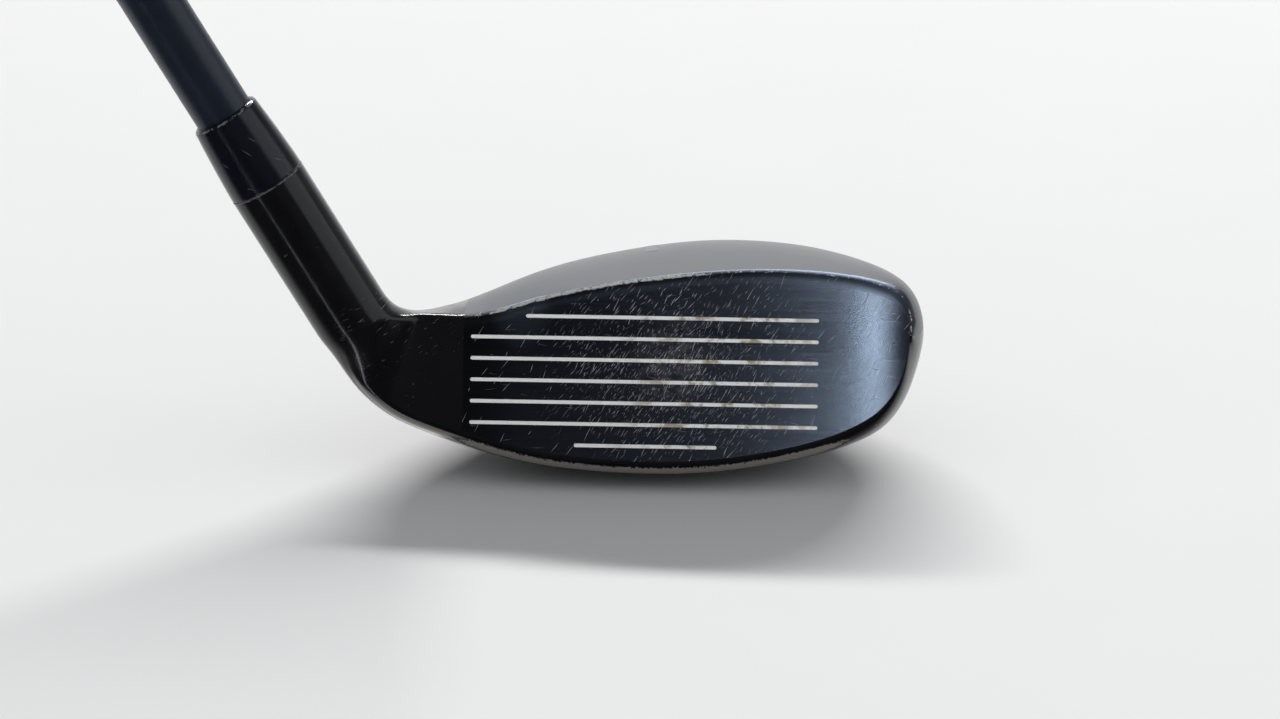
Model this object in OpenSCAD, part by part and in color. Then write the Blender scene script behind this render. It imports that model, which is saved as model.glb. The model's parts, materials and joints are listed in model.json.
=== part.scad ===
// Left-handed hybrid golf club at address: the sole rests on the ground at the origin under the
// middle of the face, +X runs to the toe, the face looks to -Y, +Z is up and the shaft leans to -X.

/* [Club] */
// Angle between the shaft and the ground, degrees
lie = 59.3; // [57:0.1:62]
// Angle of the face back from vertical, degrees
loft = 21; // [16:0.5:28]
// Length along the shaft line from the ground to the end of the grip cap
club_length = 1003; // [965:1:1040]
// Distance of the shaft line in front of the ground point, along -Y
shaft_forward = 8; // [6:0.1:10]

/* [Head] */
// Point on the ground line under the face plane, along -Y
face_forward = 18.15; // [16:0.05:20]
// Radius of the sideways bulge of the face
bulge_radius = 500; // [250:10:900]
// Where the face starts to turn back towards the toe, from the middle
toe_from = 28; // [24:0.5:34]
// How fast it turns back there, as a share of the distance cubed
toe_round = 0.0003; // [0:0.00005:0.0006]
// X of the plane where the head ends and the neck bend begins
neck_x = -36; // [-38:0.1:-34]
// Height of the centre of the neck bend
bend_z = 34.5; // [33:0.1:36]
// Radius of the inner side of the neck bend
bend_radius = 7.9; // [6:0.1:10]
// Corner radius reach at the top edge of the face
top_edge = 1.4; // [0.8:0.1:2]
// Corner radius reach at the leading edge
lead_edge = 1.8; // [1:0.1:2.4]
// X of the heel end of the hollow in the head
hollow_x = -32; // [-34:0.5:-27]

/* [Hosel] */
// Outer diameter of the hosel
hosel_d = 12.7; // [12.4:0.05:13.4]
// Length of the straight hosel above the neck bend
hosel_length = 25.3; // [22:0.1:30]
// Diameter of the hosel bore
bore_d = 9.7; // [9.55:0.01:9.8]
// Depth of the hosel bore
bore_depth = 29; // [26:0.5:32]
// Diameter of the lead-in at the mouth of the bore
bore_mouth_d = 10.7; // [10:0.1:11]
// Length of the ferrule
ferrule_length = 13; // [10:0.5:18]
// Diameter of the top of the ferrule
ferrule_top_d = 11.1; // [10.4:0.1:12]
// Radius of the rounded top edge of the ferrule
ferrule_round = 0.7; // [0.3:0.1:1]

/* [Shaft] */
// Diameter of the shaft tip
tip_d = 9.4; // [9.3:0.01:9.42]
// Length of the parallel tip
tip_length = 100; // [60:5:140]
// Diameter of the shaft butt
butt_d = 15.2; // [14.7:0.1:15.6]
// Length of the parallel butt
butt_length = 280; // [270:5:320]
// Wall of the shaft at the tip
tip_wall = 1.5; // [1:0.1:2]
// Wall of the shaft at the butt
butt_wall = 0.9; // [0.7:0.05:1.2]

/* [Grip] */
// Length of the grip with its cap
grip_length = 267; // [255:1:275]
// Diameter of the grip at its mouth
grip_mouth_d = 17.2; // [16.6:0.1:18]
// Diameter of the grip at the butt
grip_butt_d = 26.4; // [25:0.1:28]
// Thickness of the tape under the grip
tape = 0.25; // [0.15:0.05:0.4]
// Thickness of the end wall of the grip cap
cap_end = 5; // [4:0.5:6]
// Diameter of the vent hole in the grip cap
vent_d = 3; // [2.4:0.1:4]
// Depth of the grooves round the grip
grip_groove = 0.5; // [0.3:0.1:0.8]

/* [Face lines] */
// Distance between the scoring lines
line_pitch = 3.47; // [3:0.01:4]
// Height of the top scoring line up the face
line_top = 28.94; // [26:0.01:30]
// Width of a scoring line
line_w = 0.6; // [0.5:0.05:0.9]
// Depth of a scoring line
line_depth = 0.42; // [0.3:0.02:0.5]
// How far the paint lies below the face
paint_gap = 0.06; // [0.02:0.01:0.15]

/* [Weight screw] */
// Height of the middle of the port mouth
port_z = 9.8; // [9:0.1:11]
// Y of the middle of the port mouth
port_y = 36.4; // [35:0.1:38]
// Tilt of the port axis below level, degrees
port_tilt = 47; // [42:1:50]
// Diameter of the screw head
screw_head_d = 10; // [9:0.1:10.4]
// Thickness of the screw head
screw_head_h = 2.8; // [2.6:0.1:3.2]
// Diameter of the screw thread
screw_d = 5; // [4:0.5:6]
// Length of the screw below its head
screw_length = 6; // [5:0.5:6.5]
// Radial running clearance of the screw
screw_gap = 0.08; // [0.05:0.01:0.1]
// Width of the six-sided key socket
key_w = 4; // [3:0.5:5]

/* [Hidden] */

eps = 0.01;
fine = 96;

// Control values of the head, at even steps from the neck plane to the toe point.
// Each list is read as a smooth cubic spline.
edge_x = [neck_x, -28, -19, -10, 0, 10, 19.5, 28.2, 34.4, 38.8, 42.2, 42.9];
top_z = [26.7, 26.2, 29.3, 31.5, 33, 34.1, 34.5, 34.1, 33.3, 32, 30.2, 24.2];
lead_z = [9.4, 7, 4.8, 3.9, 3.5, 3.8, 5.1, 6.9, 9.2, 11.7, 16.9, 24.2];
ridge_x = [neck_x, -28, -19, -10, 0, 10, 19.5, 28.6, 37.4, 45, 46.3, 42.9];
ridge_y = [11, 23, 31.5, 37, 40, 41, 39.5, 35.5, 27.5, 15, 1, -7];
ridge_z = [15.5, 15, 15, 15.2, 15.7, 16.2, 16.8, 17.6, 18.8, 19.8, 21, 24.2];
crown_slope = [-0.25, -0.05, -0.05, -0.09, -0.07, -0.06, -0.08, -0.08, -0.08, 0, 0.05, -0.4];
crown_reach = [0.5, 0.5, 0.55, 0.58, 0.58, 0.58, 0.58, 0.56, 0.52, 0.45, 0.35, 0.3];
crown_drop = [0.65, 0.65, 0.65, 0.65, 0.65, 0.65, 0.65, 0.65, 0.62, 0.6, 0.6, 0.6];
sole_slope = [0.8, 0.72, 0.63, 0.56, 0.54, 0.56, 0.61, 0.68, 0.8, 0.95, 1, 1];
sole_reach = [0.4, 0.36, 0.33, 0.33, 0.33, 0.33, 0.33, 0.33, 0.35, 0.38, 0.4, 0.4];
sole_rise = [0.7, 0.8, 0.85, 0.9, 0.9, 0.9, 0.88, 0.85, 0.75, 0.65, 0.6, 0.6];

// Inner wall: the outer surface drawn in towards a point inside the head
hollow_at = [0, 16, 24];
hollow_scale = [0.945, 0.9, 0.9];

// Steps round a section: face, corner, crown, sole
n_face = 3;
n_corner = 3;
n_crown = 14;
n_sole = 14;
n_head = 40;
n_bend = 12;
n_loop = n_face + 2 * n_corner + n_crown + n_sole;

function smooth(t) = t * t * (3 - 2 * t);
function at(c, k, even) =
  let (n = len(c) - 1)
  k < 0 ? 2 * c[0] - c[1] : k <= n ? c[k] : even ? c[n - 1] : 2 * c[n] - c[n - 1];
function spline(c, u, even = false) =
  let (
    n = len(c) - 1,
    t = max(0, min(1, u)) * n,
    k = min(floor(t), n - 1),
    f = t - k
  )
  (pow(1 - f, 3) * at(c, k - 1, even)
    + (3 * pow(f, 3) - 6 * f * f + 4) * at(c, k, even)
    + (-3 * pow(f, 3) + 3 * f * f + 3 * f + 1) * at(c, k + 1, even)
    + pow(f, 3) * at(c, k + 2, even)) / 6;
function face_y(x, z) = z * tan(loft) - face_forward + x * x / (2 * bulge_radius)
  + toe_round * pow(max(0, x - toe_from), 3);
function bezier(p, t) =
  pow(1 - t, 3) * p[0] + 3 * pow(1 - t, 2) * t * p[1]
  + 3 * (1 - t) * t * t * p[2] + pow(t, 3) * p[3];
function arc(p, t) = pow(1 - t, 2) * p[0] + 2 * (1 - t) * t * p[1] + t * t * p[2];
function flat(p) = norm([p[0], p[1]]);

// The crown and sole curves of one station
function crown_curve(u) =
  let (
    x = spline(edge_x, u, true),
    top = [x, face_y(x, spline(top_z, u)), spline(top_z, u)],
    ridge = [spline(ridge_x, u), spline(ridge_y, u), spline(ridge_z, u)],
    run = max(flat(ridge - top), 1e-6),
    way = [(ridge[0] - top[0]) / run, (ridge[1] - top[1]) / run, spline(crown_slope, u)]
  )
  [
    top,
    top + way * spline(crown_reach, u) * run,
    ridge + [0, 0, spline(crown_drop, u) * (top[2] - ridge[2])],
    ridge
  ];
function sole_curve(u) =
  let (
    x = spline(edge_x, u, true),
    lead = [x, face_y(x, spline(lead_z, u)), spline(lead_z, u)],
    ridge = [spline(ridge_x, u), spline(ridge_y, u), spline(ridge_z, u)],
    run = max(flat(ridge - lead), 1e-6),
    way = [(ridge[0] - lead[0]) / run, (ridge[1] - lead[1]) / run, -spline(sole_slope, u)]
  )
  [
    ridge,
    ridge - [0, 0, spline(sole_rise, u) * (ridge[2] - lead[2])],
    lead + way * spline(sole_reach, u) * run,
    lead
  ];
// Where a corner of the given reach leaves the crown or the sole
function crown_start(c, reach) = reach / max(3 * norm(c[1] - c[0]), reach * 2);
function sole_end(c, reach) = 1 - reach / max(3 * norm(c[3] - c[2]), reach * 2);

// One closed section, from the leading edge up the face, back over the crown and under the sole
function section(u) =
  let (
    crown = crown_curve(u),
    sole = sole_curve(u),
    top = crown[0],
    lead = sole[3],
    tall = max(norm(top - lead), 1e-9),
    up = (top - lead) / tall,
    r_top = min(top_edge, tall / 4),
    r_lead = min(lead_edge, tall / 4),
    a = lead + up * r_lead,
    b = top - up * r_top,
    t_top = crown_start(crown, r_top),
    t_lead = sole_end(sole, r_lead),
    c = bezier(crown, t_top),
    d = bezier(sole, t_lead)
  )
  concat(
    [for (k = [0:n_face - 1]) a + (b - a) * k / n_face],
    [for (k = [0:n_corner - 1]) arc([b, top, c], k / n_corner)],
    [for (k = [0:n_crown - 1]) bezier(crown, t_top + (1 - t_top) * k / n_crown)],
    [for (k = [0:n_sole - 1]) bezier(sole, t_lead * k / n_sole)],
    [for (k = [0:n_corner - 1]) arc([d, lead, a], k / n_corner)]
  );

// Angles round the hosel that the steps of a section turn into, from the inner side of the bend
hosel_angles = concat(
  [for (k = [0:n_face - 1]) -132 + 84 * k / n_face],
  [for (k = [0:n_corner - 1]) -48 + 20 * k / n_corner],
  [for (k = [0:n_crown - 1]) -28 + 118 * k / n_crown],
  [for (k = [0:n_sole - 1]) 90 + 118 * k / n_sole],
  [for (k = [0:n_corner - 1]) 208 + 20 * k / n_corner]
);
hosel_r = hosel_d / 2;
// How far the slope of the head's surface carries on into the neck bend
carry = 3;
// Share of the bend in which the head's section turns into the round hosel
bend_share = 0.86;
first = section(0);
second = section(0.001);
// A section of the neck bend, turned by the given angle about the centre of the bend
function bend_section(turn) =
  let (w = smooth(min(1, turn / (bend_share * lie))))
  [
    for (j = [0:n_loop - 1])
      let (
        run = second[j][0] - first[j][0],
        back = carry * (1 - exp(-(bend_z - first[j][2]) * turn * PI / 180 / carry)),
        head_z = first[j][2] - (second[j][2] - first[j][2]) / run * back,
        head_y = first[j][1] - (second[j][1] - first[j][1]) / run * back,
        round_q = bend_radius + hosel_r - hosel_r * cos(hosel_angles[j]),
        round_y = hosel_r * sin(hosel_angles[j]) - shaft_forward,
        q = (1 - w) * (bend_z - head_z) + w * round_q,
        y = (1 - w) * head_y + w * round_y
      )
      [neck_x - q * sin(turn), y, bend_z - q * cos(turn)]
  ];

// Foot of the straight hosel on the shaft line, and the direction up the shaft
hosel_foot = [
  neck_x - (bend_radius + hosel_r) * sin(lie), -shaft_forward,
  bend_z - (bend_radius + hosel_r) * cos(lie)
];
up_shaft = [-cos(lie), 0, sin(lie)];
ground_s = -hosel_foot[2] / sin(lie);
butt_s = club_length + ground_s;

// All sections from the top of the hosel to the station before the toe point
hosel_top = [for (p = bend_section(lie)) p + up_shaft * hosel_length];
outer = concat(
  [hosel_top],
  [for (k = [0:n_bend - 1]) bend_section(lie * (1 - k / n_bend))],
  [for (k = [0:n_head - 1]) section(toe_step(k / n_head))]
);
// Even steps along the head that close up towards the toe
function toe_step(t) = t * (1.35 - 0.35 * t);
toe = crown_curve(1)[0];
function drawn_in(p) = [
  hollow_at[0] + hollow_scale[0] * (p[0] - hollow_at[0]),
  hollow_at[1] + hollow_scale[1] * (p[1] - hollow_at[1]),
  hollow_at[2] + hollow_scale[2] * (p[2] - hollow_at[2])
];
inner = [for (row = outer) [for (p = row) drawn_in(p)]];
rows = len(outer);
// First row of the hollow part of the head
row_in = [for (i = [0:rows - 1]) if (outer[i][0][0] > hollow_x) i][0];
// Steps of the loop where the pieces meet
j_crown = n_face + n_corner;
j_skirt = n_face + n_corner + n_crown - 2;

// A piece of the shell between two steps of the loop, from row_in to the toe point
module shell_piece(j0, j1) {
  wide = j1 - j0 + 1;
  count = rows - row_in;
  points = concat(
    [for (i = [row_in:rows - 1]) for (j = [j0:j1]) outer[i][j % n_loop]],
    [for (i = [row_in:rows - 1]) for (j = [j0:j1]) inner[i][j % n_loop]],
    [toe, drawn_in(toe)]
  );
  under = count * wide;
  tip = 2 * under;
  last = (count - 1) * wide;
  faces = concat(
    [for (i = [0:count - 2]) for (j = [0:wide - 2])
      for (f = split_quad(i * wide + j, i * wide + j + 1, (i + 1) * wide + j + 1, (i + 1) * wide + j)) f],
    [for (j = [0:wide - 2]) [last + j, last + j + 1, tip]],
    [for (i = [0:count - 2]) for (j = [0:wide - 2])
      for (f = split_quad(
        under + i * wide + j, under + (i + 1) * wide + j,
        under + (i + 1) * wide + j + 1, under + i * wide + j + 1)) f],
    [for (j = [0:wide - 2]) [under + last + j, tip + 1, under + last + j + 1]],
    [for (i = [0:count - 2]) for (j = [0, wide - 1])
      for (f = split_quad(
        (j == 0 ? i : i + 1) * wide + j, (j == 0 ? i + 1 : i) * wide + j,
        under + (j == 0 ? i + 1 : i) * wide + j, under + (j == 0 ? i : i + 1) * wide + j)) f],
    split_quad(last, tip, tip + 1, under + last),
    split_quad(tip, last + wide - 1, under + last + wide - 1, tip + 1),
    [for (j = [0:wide - 2]) for (f = split_quad(j + 1, j, under + j, under + j + 1)) f]
  );
  polyhedron(points, faces, convexity = 8);
}
function split_quad(a, b, c, d) = [[a, b, c], [a, c, d]];

// Hosel, heel, sole and skirt as one casting, open towards the face and the crown
module body_shell() {
  wide = n_loop;
  count = rows - row_in;
  points = concat(
    [for (row = outer) for (p = row) p],
    [for (i = [row_in:rows - 1]) for (p = inner[i]) p],
    [toe, drawn_in(toe)]
  );
  under = rows * wide;
  tip = under + count * wide;
  last = (rows - 1) * wide;
  last_in = under + (count - 1) * wide;
  faces = concat(
    [[for (j = [wide - 1:-1:0]) j]],
    [for (i = [0:rows - 2]) for (j = [i < row_in ? 0 : j_skirt:wide - 1])
      for (f = split_quad(
        i * wide + j, i * wide + (j + 1) % wide,
        (i + 1) * wide + (j + 1) % wide, (i + 1) * wide + j)) f],
    [for (j = [j_skirt:wide - 1]) [last + j, last + (j + 1) % wide, tip]],
    [for (i = [0:count - 2]) for (j = [j_skirt:wide - 1])
      for (f = split_quad(
        under + i * wide + j, under + (i + 1) * wide + j,
        under + (i + 1) * wide + (j + 1) % wide, under + i * wide + (j + 1) % wide)) f],
    [for (j = [j_skirt:wide - 1]) [last_in + j, tip + 1, last_in + (j + 1) % wide]],
    [[for (j = [0:wide - 1]) under + j]],
    [for (j = [0:j_skirt - 1])
      for (f = split_quad(
        row_in * wide + j, row_in * wide + j + 1, under + j + 1, under + j)) f],
    [for (i = [0:count - 2])
      for (f = split_quad(
        (row_in + i) * wide + j_skirt, (row_in + i + 1) * wide + j_skirt,
        under + (i + 1) * wide + j_skirt, under + i * wide + j_skirt)) f],
    split_quad(last + j_skirt, tip, tip + 1, last_in + j_skirt),
    [for (i = [0:count - 2])
      for (f = split_quad(
        (row_in + i + 1) * wide, (row_in + i) * wide,
        under + i * wide, under + (i + 1) * wide)) f],
    split_quad(tip, last, last_in, tip + 1)
  );
  polyhedron(points, faces, convexity = 10);
}

// A thin sheet over part of the crown or sole between two depths along the surface normal.
// u runs along the head, v round the curve; depths are negative into the head.
function on_curve(u, v, sole) = bezier(sole ? sole_curve(u) : crown_curve(u), v);
function normal_at(u, v, sole) =
  let (
    du = on_curve(u + 0.004, v, sole) - on_curve(u - 0.004, v, sole),
    dv = on_curve(u, v + 0.004, sole) - on_curve(u, v - 0.004, sole),
    n = cross(du, dv)
  )
  n / norm(n);
module sheet(u0, u1, v0, v1, low, high, nu, nv, sole) {
  wide = nv + 1;
  half = (nu + 1) * wide;
  spots = [for (i = [0:nu]) for (j = [0:nv]) [u0 + (u1 - u0) * i / nu, v0 + (v1 - v0) * j / nv]];
  points = concat(
    [for (q = spots) on_curve(q[0], q[1], sole) + high * normal_at(q[0], q[1], sole)],
    [for (q = spots) on_curve(q[0], q[1], sole) + low * normal_at(q[0], q[1], sole)]
  );
  faces = concat(
    [for (i = [0:nu - 1]) for (j = [0:nv - 1])
      for (f = split_quad(i * wide + j, i * wide + j + 1, (i + 1) * wide + j + 1, (i + 1) * wide + j)) f],
    [for (i = [0:nu - 1]) for (j = [0:nv - 1])
      for (f = split_quad(
        half + i * wide + j, half + (i + 1) * wide + j,
        half + (i + 1) * wide + j + 1, half + i * wide + j + 1)) f],
    [for (i = [0:nu - 1])
      for (f = split_quad(i * wide, (i + 1) * wide, half + (i + 1) * wide, half + i * wide)) f],
    [for (i = [0:nu - 1])
      for (f = split_quad(
        (i + 1) * wide + nv, i * wide + nv, half + i * wide + nv, half + (i + 1) * wide + nv)) f],
    [for (j = [0:nv - 1]) for (f = split_quad(j + 1, j, half + j, half + j + 1)) f],
    [for (j = [0:nv - 1])
      for (f = split_quad(
        nu * wide + j, nu * wide + j + 1, half + nu * wide + j + 1, half + nu * wide + j)) f]
  );
  polyhedron(points, faces, convexity = 6);
}

// Extents of the crown mark and the sole badge on their curves
mark_u = [0.358, 0.378];
mark_v = [0.30, 0.52];
mark_depth = 0.3;
badge_u = [0.30, 0.56];
badge_v = [0.37, 0.57];
badge_depth = 0.9;
badge_glue = 0.1;

// A frame with +Z up the shaft and its origin at a distance up the shaft line
module up_the_shaft(s) {
  translate(hosel_foot + s * up_shaft) rotate([0, lie - 90, 0]) children();
}
// A frame with +Z out of the weight port and its origin at the mouth of the port
port_at = [2, port_y, port_z];
module at_port() {
  translate(port_at) rotate([-90 - port_tilt, 0, 0]) children();
}
screw_gap_d = 2 * screw_gap;
seal_wire = 1.2;
seal_mean_d = screw_d + 2 * screw_gap + seal_wire;
seat_gap = 0.3;
seat_depth = screw_head_h + seal_wire + 0.2;

// One scoring line as a band round the bulge axis, between two depths below the face
bulge_axis = bulge_radius / cos(loft);
lines = [
  for (k = [0:6])
    [line_top - k * line_pitch, k == 0 ? -19.4 : k == 6 ? -11.3 : -28.3, k == 6 ? 11.2 : 27.5]
];
module scoring_line(line, top, bottom) {
  a = asin(line[1] / bulge_axis);
  b = asin(line[2] / bulge_axis);
  rotate([-loft, 0, 0]) translate([0, -face_forward * cos(loft), line[0] - face_forward * sin(loft)]) {
    translate([0, bulge_axis, 0]) rotate([0, 0, a - 90]) rotate_extrude(angle = b - a, $fn = 360)
      translate([bulge_axis - bottom, -line_w / 2]) square([bottom - top, line_w]);
    for (x = [line[1], line[2]])
      translate([0, bulge_axis, 0]) rotate([0, 0, asin(x / bulge_axis)])
        translate([0, -bulge_axis + top, 0]) rotate([-90, 0, 0])
          cylinder(d = line_w, h = bottom - top, $fn = 24);
  }
}

// Thick wall round the weight port, running into the middle of the shell around it
module port_boss() {
  intersection() {
    at_port() union() {
      translate([0, 0, -seat_depth - 1.2]) cylinder(d = screw_head_d + 2.6, h = seat_depth + 6, $fn = fine);
      translate([0, 0, -seat_depth - screw_length - 1.6])
        cylinder(d = screw_d + 3.4, h = screw_length + 1.6, $fn = fine);
    }
    filled_head();
  }
}
// The head filled out to the middle of its walls
module filled_head() {
  middle = [for (i = [row_in:rows - 1]) (outer[i] + inner[i]) / 2];
  count = len(middle);
  points = concat([for (row = middle) for (p = row) p], [(toe + drawn_in(toe)) / 2]);
  last = (count - 1) * n_loop;
  faces = concat(
    [[for (j = [n_loop - 1:-1:0]) j]],
    [for (i = [0:count - 2]) for (j = [0:n_loop - 1])
      for (f = split_quad(
        i * n_loop + j, i * n_loop + (j + 1) % n_loop,
        (i + 1) * n_loop + (j + 1) % n_loop, (i + 1) * n_loop + j)) f],
    [for (j = [0:n_loop - 1]) [last + j, last + (j + 1) % n_loop, count * n_loop]]
  );
  polyhedron(points, faces, convexity = 4);
}
module head_body() {
  color([0.05, 0.05, 0.06])
  difference() {
    union() {
      body_shell();
      port_boss();
    }
    up_the_shaft(hosel_length - bore_depth) cylinder(d = bore_d, h = bore_depth + 1, $fn = fine);
    up_the_shaft(hosel_length - 0.5) cylinder(d1 = bore_d, d2 = bore_mouth_d, h = 0.5 + eps, $fn = fine);
    at_port() translate([0, 0, -seat_depth]) cylinder(d = screw_head_d + 2 * seat_gap, h = seat_depth + 6, $fn = fine);
    at_port() translate([0, 0, -seat_depth - screw_length - 0.6])
      cylinder(d = screw_d + screw_gap_d, h = screw_length + 1, $fn = fine);
    sheet(badge_u[0], badge_u[1], badge_v[0], badge_v[1], -badge_depth - badge_glue, 0.6, 8, 6, true);
    translate([-60, -40, -10]) cube([120, 100, 10]);
  }
}
module face_plate() {
  color([0.09, 0.09, 0.1])
  difference() {
    shell_piece(0, j_crown);
    for (line = lines) scoring_line(line, -0.5, line_depth);
  }
}
module crown_plate() {
  color([0.2, 0.22, 0.26])
  difference() {
    shell_piece(j_crown, j_skirt);
    sheet(mark_u[0], mark_u[1], mark_v[0], mark_v[1], -mark_depth, 0.5, 2, 6, false);
  }
}
module score_line_paint() {
  color([0.93, 0.92, 0.88])
  for (line = lines) scoring_line(line, paint_gap, line_depth);
}
module alignment_mark() {
  color([0.6, 0.62, 0.64])
  sheet(mark_u[0], mark_u[1], mark_v[0], mark_v[1], -mark_depth, 0.03, 2, 6, false);
}
module sole_badge() {
  color([0.55, 0.56, 0.58])
  sheet(badge_u[0], badge_u[1], badge_v[0], badge_v[1], -badge_depth, -0.08, 8, 6, true);
}
module badge_adhesive() {
  color([0.85, 0.82, 0.7])
  sheet(badge_u[0], badge_u[1], badge_v[0], badge_v[1], -badge_depth - badge_glue, -badge_depth, 8, 6, true);
}
module weight_screw() {
  color([0.62, 0.6, 0.57])
  at_port() difference() {
    union() {
      translate([0, 0, -screw_head_h]) cylinder(d = screw_head_d, h = screw_head_h - 0.4, $fn = fine);
      translate([0, 0, -0.4]) cylinder(d1 = screw_head_d, d2 = screw_head_d - 0.8, h = 0.4, $fn = fine);
      translate([0, 0, -seat_depth - screw_length]) cylinder(d = screw_d, h = seat_depth + screw_length - screw_head_h + eps, $fn = fine);
    }
    translate([0, 0, -2.2]) cylinder(d = key_w / cos(30), h = 3, $fn = 6);
  }
}
module weight_seal() {
  color([0.1, 0.1, 0.1])
  at_port() translate([0, 0, -seat_depth + seal_wire / 2 + 0.1])
    rotate_extrude($fn = fine) translate([(seal_mean_d + 0.4) / 2, 0]) circle(d = seal_wire, $fn = 32);
}
melt_rows = [20, 29];
melt_steps = [n_face + n_corner + n_crown + 4, n_face + n_corner + n_crown + 10];
module hot_melt() {
  color([0.86, 0.72, 0.4])
  melt_pool();
}
module melt_pool() {
  rows_wide = melt_rows[1] - melt_rows[0];
  wide = melt_steps[1] - melt_steps[0] + 1;
  half = (rows_wide + 1) * wide;
  spots = [for (i = [melt_rows[0]:melt_rows[1]]) for (j = [melt_steps[0]:melt_steps[1]]) [i, j]];
  points = concat(
    [for (q = spots) inner[q[0] + row_in][q[1]]],
    [for (q = spots) inner[q[0] + row_in][q[1]] + [0, 0, 0.5 + 3
      * sin(180 * (q[0] - melt_rows[0]) / rows_wide) * sin(180 * (q[1] - melt_steps[0]) / (wide - 1))]]
  );
  faces = concat(
    [for (i = [0:rows_wide - 1]) for (j = [0:wide - 2])
      for (f = split_quad(i * wide + j, i * wide + j + 1, (i + 1) * wide + j + 1, (i + 1) * wide + j)) f],
    [for (i = [0:rows_wide - 1]) for (j = [0:wide - 2])
      for (f = split_quad(
        half + i * wide + j, half + (i + 1) * wide + j,
        half + (i + 1) * wide + j + 1, half + i * wide + j + 1)) f],
    [for (i = [0:rows_wide - 1])
      for (f = split_quad(i * wide, (i + 1) * wide, half + (i + 1) * wide, half + i * wide)) f],
    [for (i = [0:rows_wide - 1])
      for (f = split_quad(
        (i + 1) * wide + wide - 1, i * wide + wide - 1,
        half + i * wide + wide - 1, half + (i + 1) * wide + wide - 1)) f],
    [for (j = [0:wide - 2]) for (f = split_quad(j + 1, j, half + j, half + j + 1)) f],
    [for (j = [0:wide - 2])
      for (f = split_quad(
        rows_wide * wide + j, rows_wide * wide + j + 1,
        half + rows_wide * wide + j + 1, half + rows_wide * wide + j)) f]
  );
  polyhedron(points, faces, convexity = 6);
}

// Shaft line positions of the parts above the head
bore_floor = hosel_length - bore_depth;
stop_h = 1.5;
shaft_tip_s = bore_floor + stop_h;
shaft_end_s = butt_s - cap_end;
butt_start = shaft_end_s - butt_length;
tip_end = shaft_tip_s + tip_length;
plug_length = 12;
module hosel_stop() {
  color([0.75, 0.74, 0.7])
  up_the_shaft(bore_floor) cylinder(d = bore_d, h = stop_h, $fn = fine);
}
module hosel_epoxy() {
  color([0.55, 0.5, 0.3])
  up_the_shaft(shaft_tip_s) difference() {
    cylinder(d = bore_d, h = bore_depth - stop_h - 0.5, $fn = fine);
    translate([0, 0, -1]) cylinder(d = tip_d, h = bore_depth + 2, $fn = fine);
  }
}
module ferrule() {
  color([0.02, 0.02, 0.02])
  up_the_shaft(hosel_length) rotate_extrude($fn = 120)
    polygon(concat(
      [[tip_d / 2, 0], [hosel_r, 0]],
      [for (k = [1:7]) [ferrule_side(k / 7), (ferrule_length - ferrule_round) * k / 7]],
      [for (a = [15:15:90]) [
        ferrule_top_d / 2 - ferrule_round + ferrule_round * cos(a),
        ferrule_length - ferrule_round + ferrule_round * sin(a)
      ]],
      [[tip_d / 2, ferrule_length]]
    ));
}
// Barrel outline of the ferrule from bottom to top
function ferrule_side(t) = hosel_r + (ferrule_top_d / 2 - hosel_r) * t * (0.55 + 0.45 * t);
function shaft_r(s) =
  s < tip_end ? tip_d / 2
  : s < butt_start ? tip_d / 2 + (butt_d - tip_d) / 2 * (s - tip_end) / (butt_start - tip_end)
  : butt_d / 2;
module shaft() {
  color([0.03, 0.04, 0.09])
  up_the_shaft(0) rotate_extrude($fn = fine) polygon([
    [tip_d / 2 - tip_wall, shaft_tip_s],
    [tip_d / 2 - 0.2, shaft_tip_s],
    [tip_d / 2, shaft_tip_s + 0.2],
    [tip_d / 2, tip_end],
    [butt_d / 2, butt_start],
    [butt_d / 2, shaft_end_s],
    [butt_d / 2 - butt_wall, shaft_end_s],
    [butt_d / 2 - butt_wall, butt_start],
    [tip_d / 2 - tip_wall, tip_end]
  ]);
}
module tip_plug() {
  color([0.7, 0.55, 0.35])
  up_the_shaft(shaft_tip_s) cylinder(d = tip_d - 2 * tip_wall, h = plug_length, $fn = fine);
}
mouth_s = butt_s - grip_length;
cap_h = 9;
sleeve_end = butt_s - cap_h;
module grip_tape() {
  color([0.9, 0.88, 0.8])
  up_the_shaft(mouth_s + 6) difference() {
    cylinder(d = butt_d + 2 * tape, h = shaft_end_s - mouth_s - 6, $fn = fine);
    translate([0, 0, -1]) cylinder(d = butt_d, h = grip_length + 2, $fn = fine);
  }
}
// Outer radius of the grip at a distance above its mouth
grip_straight = sleeve_end - mouth_s;
function grip_r(h) =
  grip_mouth_d / 2 + (grip_butt_d - grip_mouth_d) / 2 * pow(h / grip_straight, 1.35);
bands = [for (k = [0:10]) 26 + 19 * k];
module grip_sleeve() {
  color([0.06, 0.06, 0.06])
  up_the_shaft(mouth_s) rotate_extrude($fn = fine)
    polygon(concat(
      [[butt_d / 2, 0], [grip_mouth_d / 2 - 0.5, 0], [grip_mouth_d / 2, 0.5]],
      [
        for (h = bands)
          for (q = [[-0.9, 0], [-0.4, -grip_groove], [0.4, -grip_groove], [0.9, 0]])
            [grip_r(h + q[0]) + q[1], h + q[0]]
      ],
      [
        [grip_butt_d / 2, grip_straight],
        [butt_d / 2 + tape, grip_straight],
        [butt_d / 2 + tape, 6],
        [butt_d / 2, 6]
      ]
    ));
}
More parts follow.
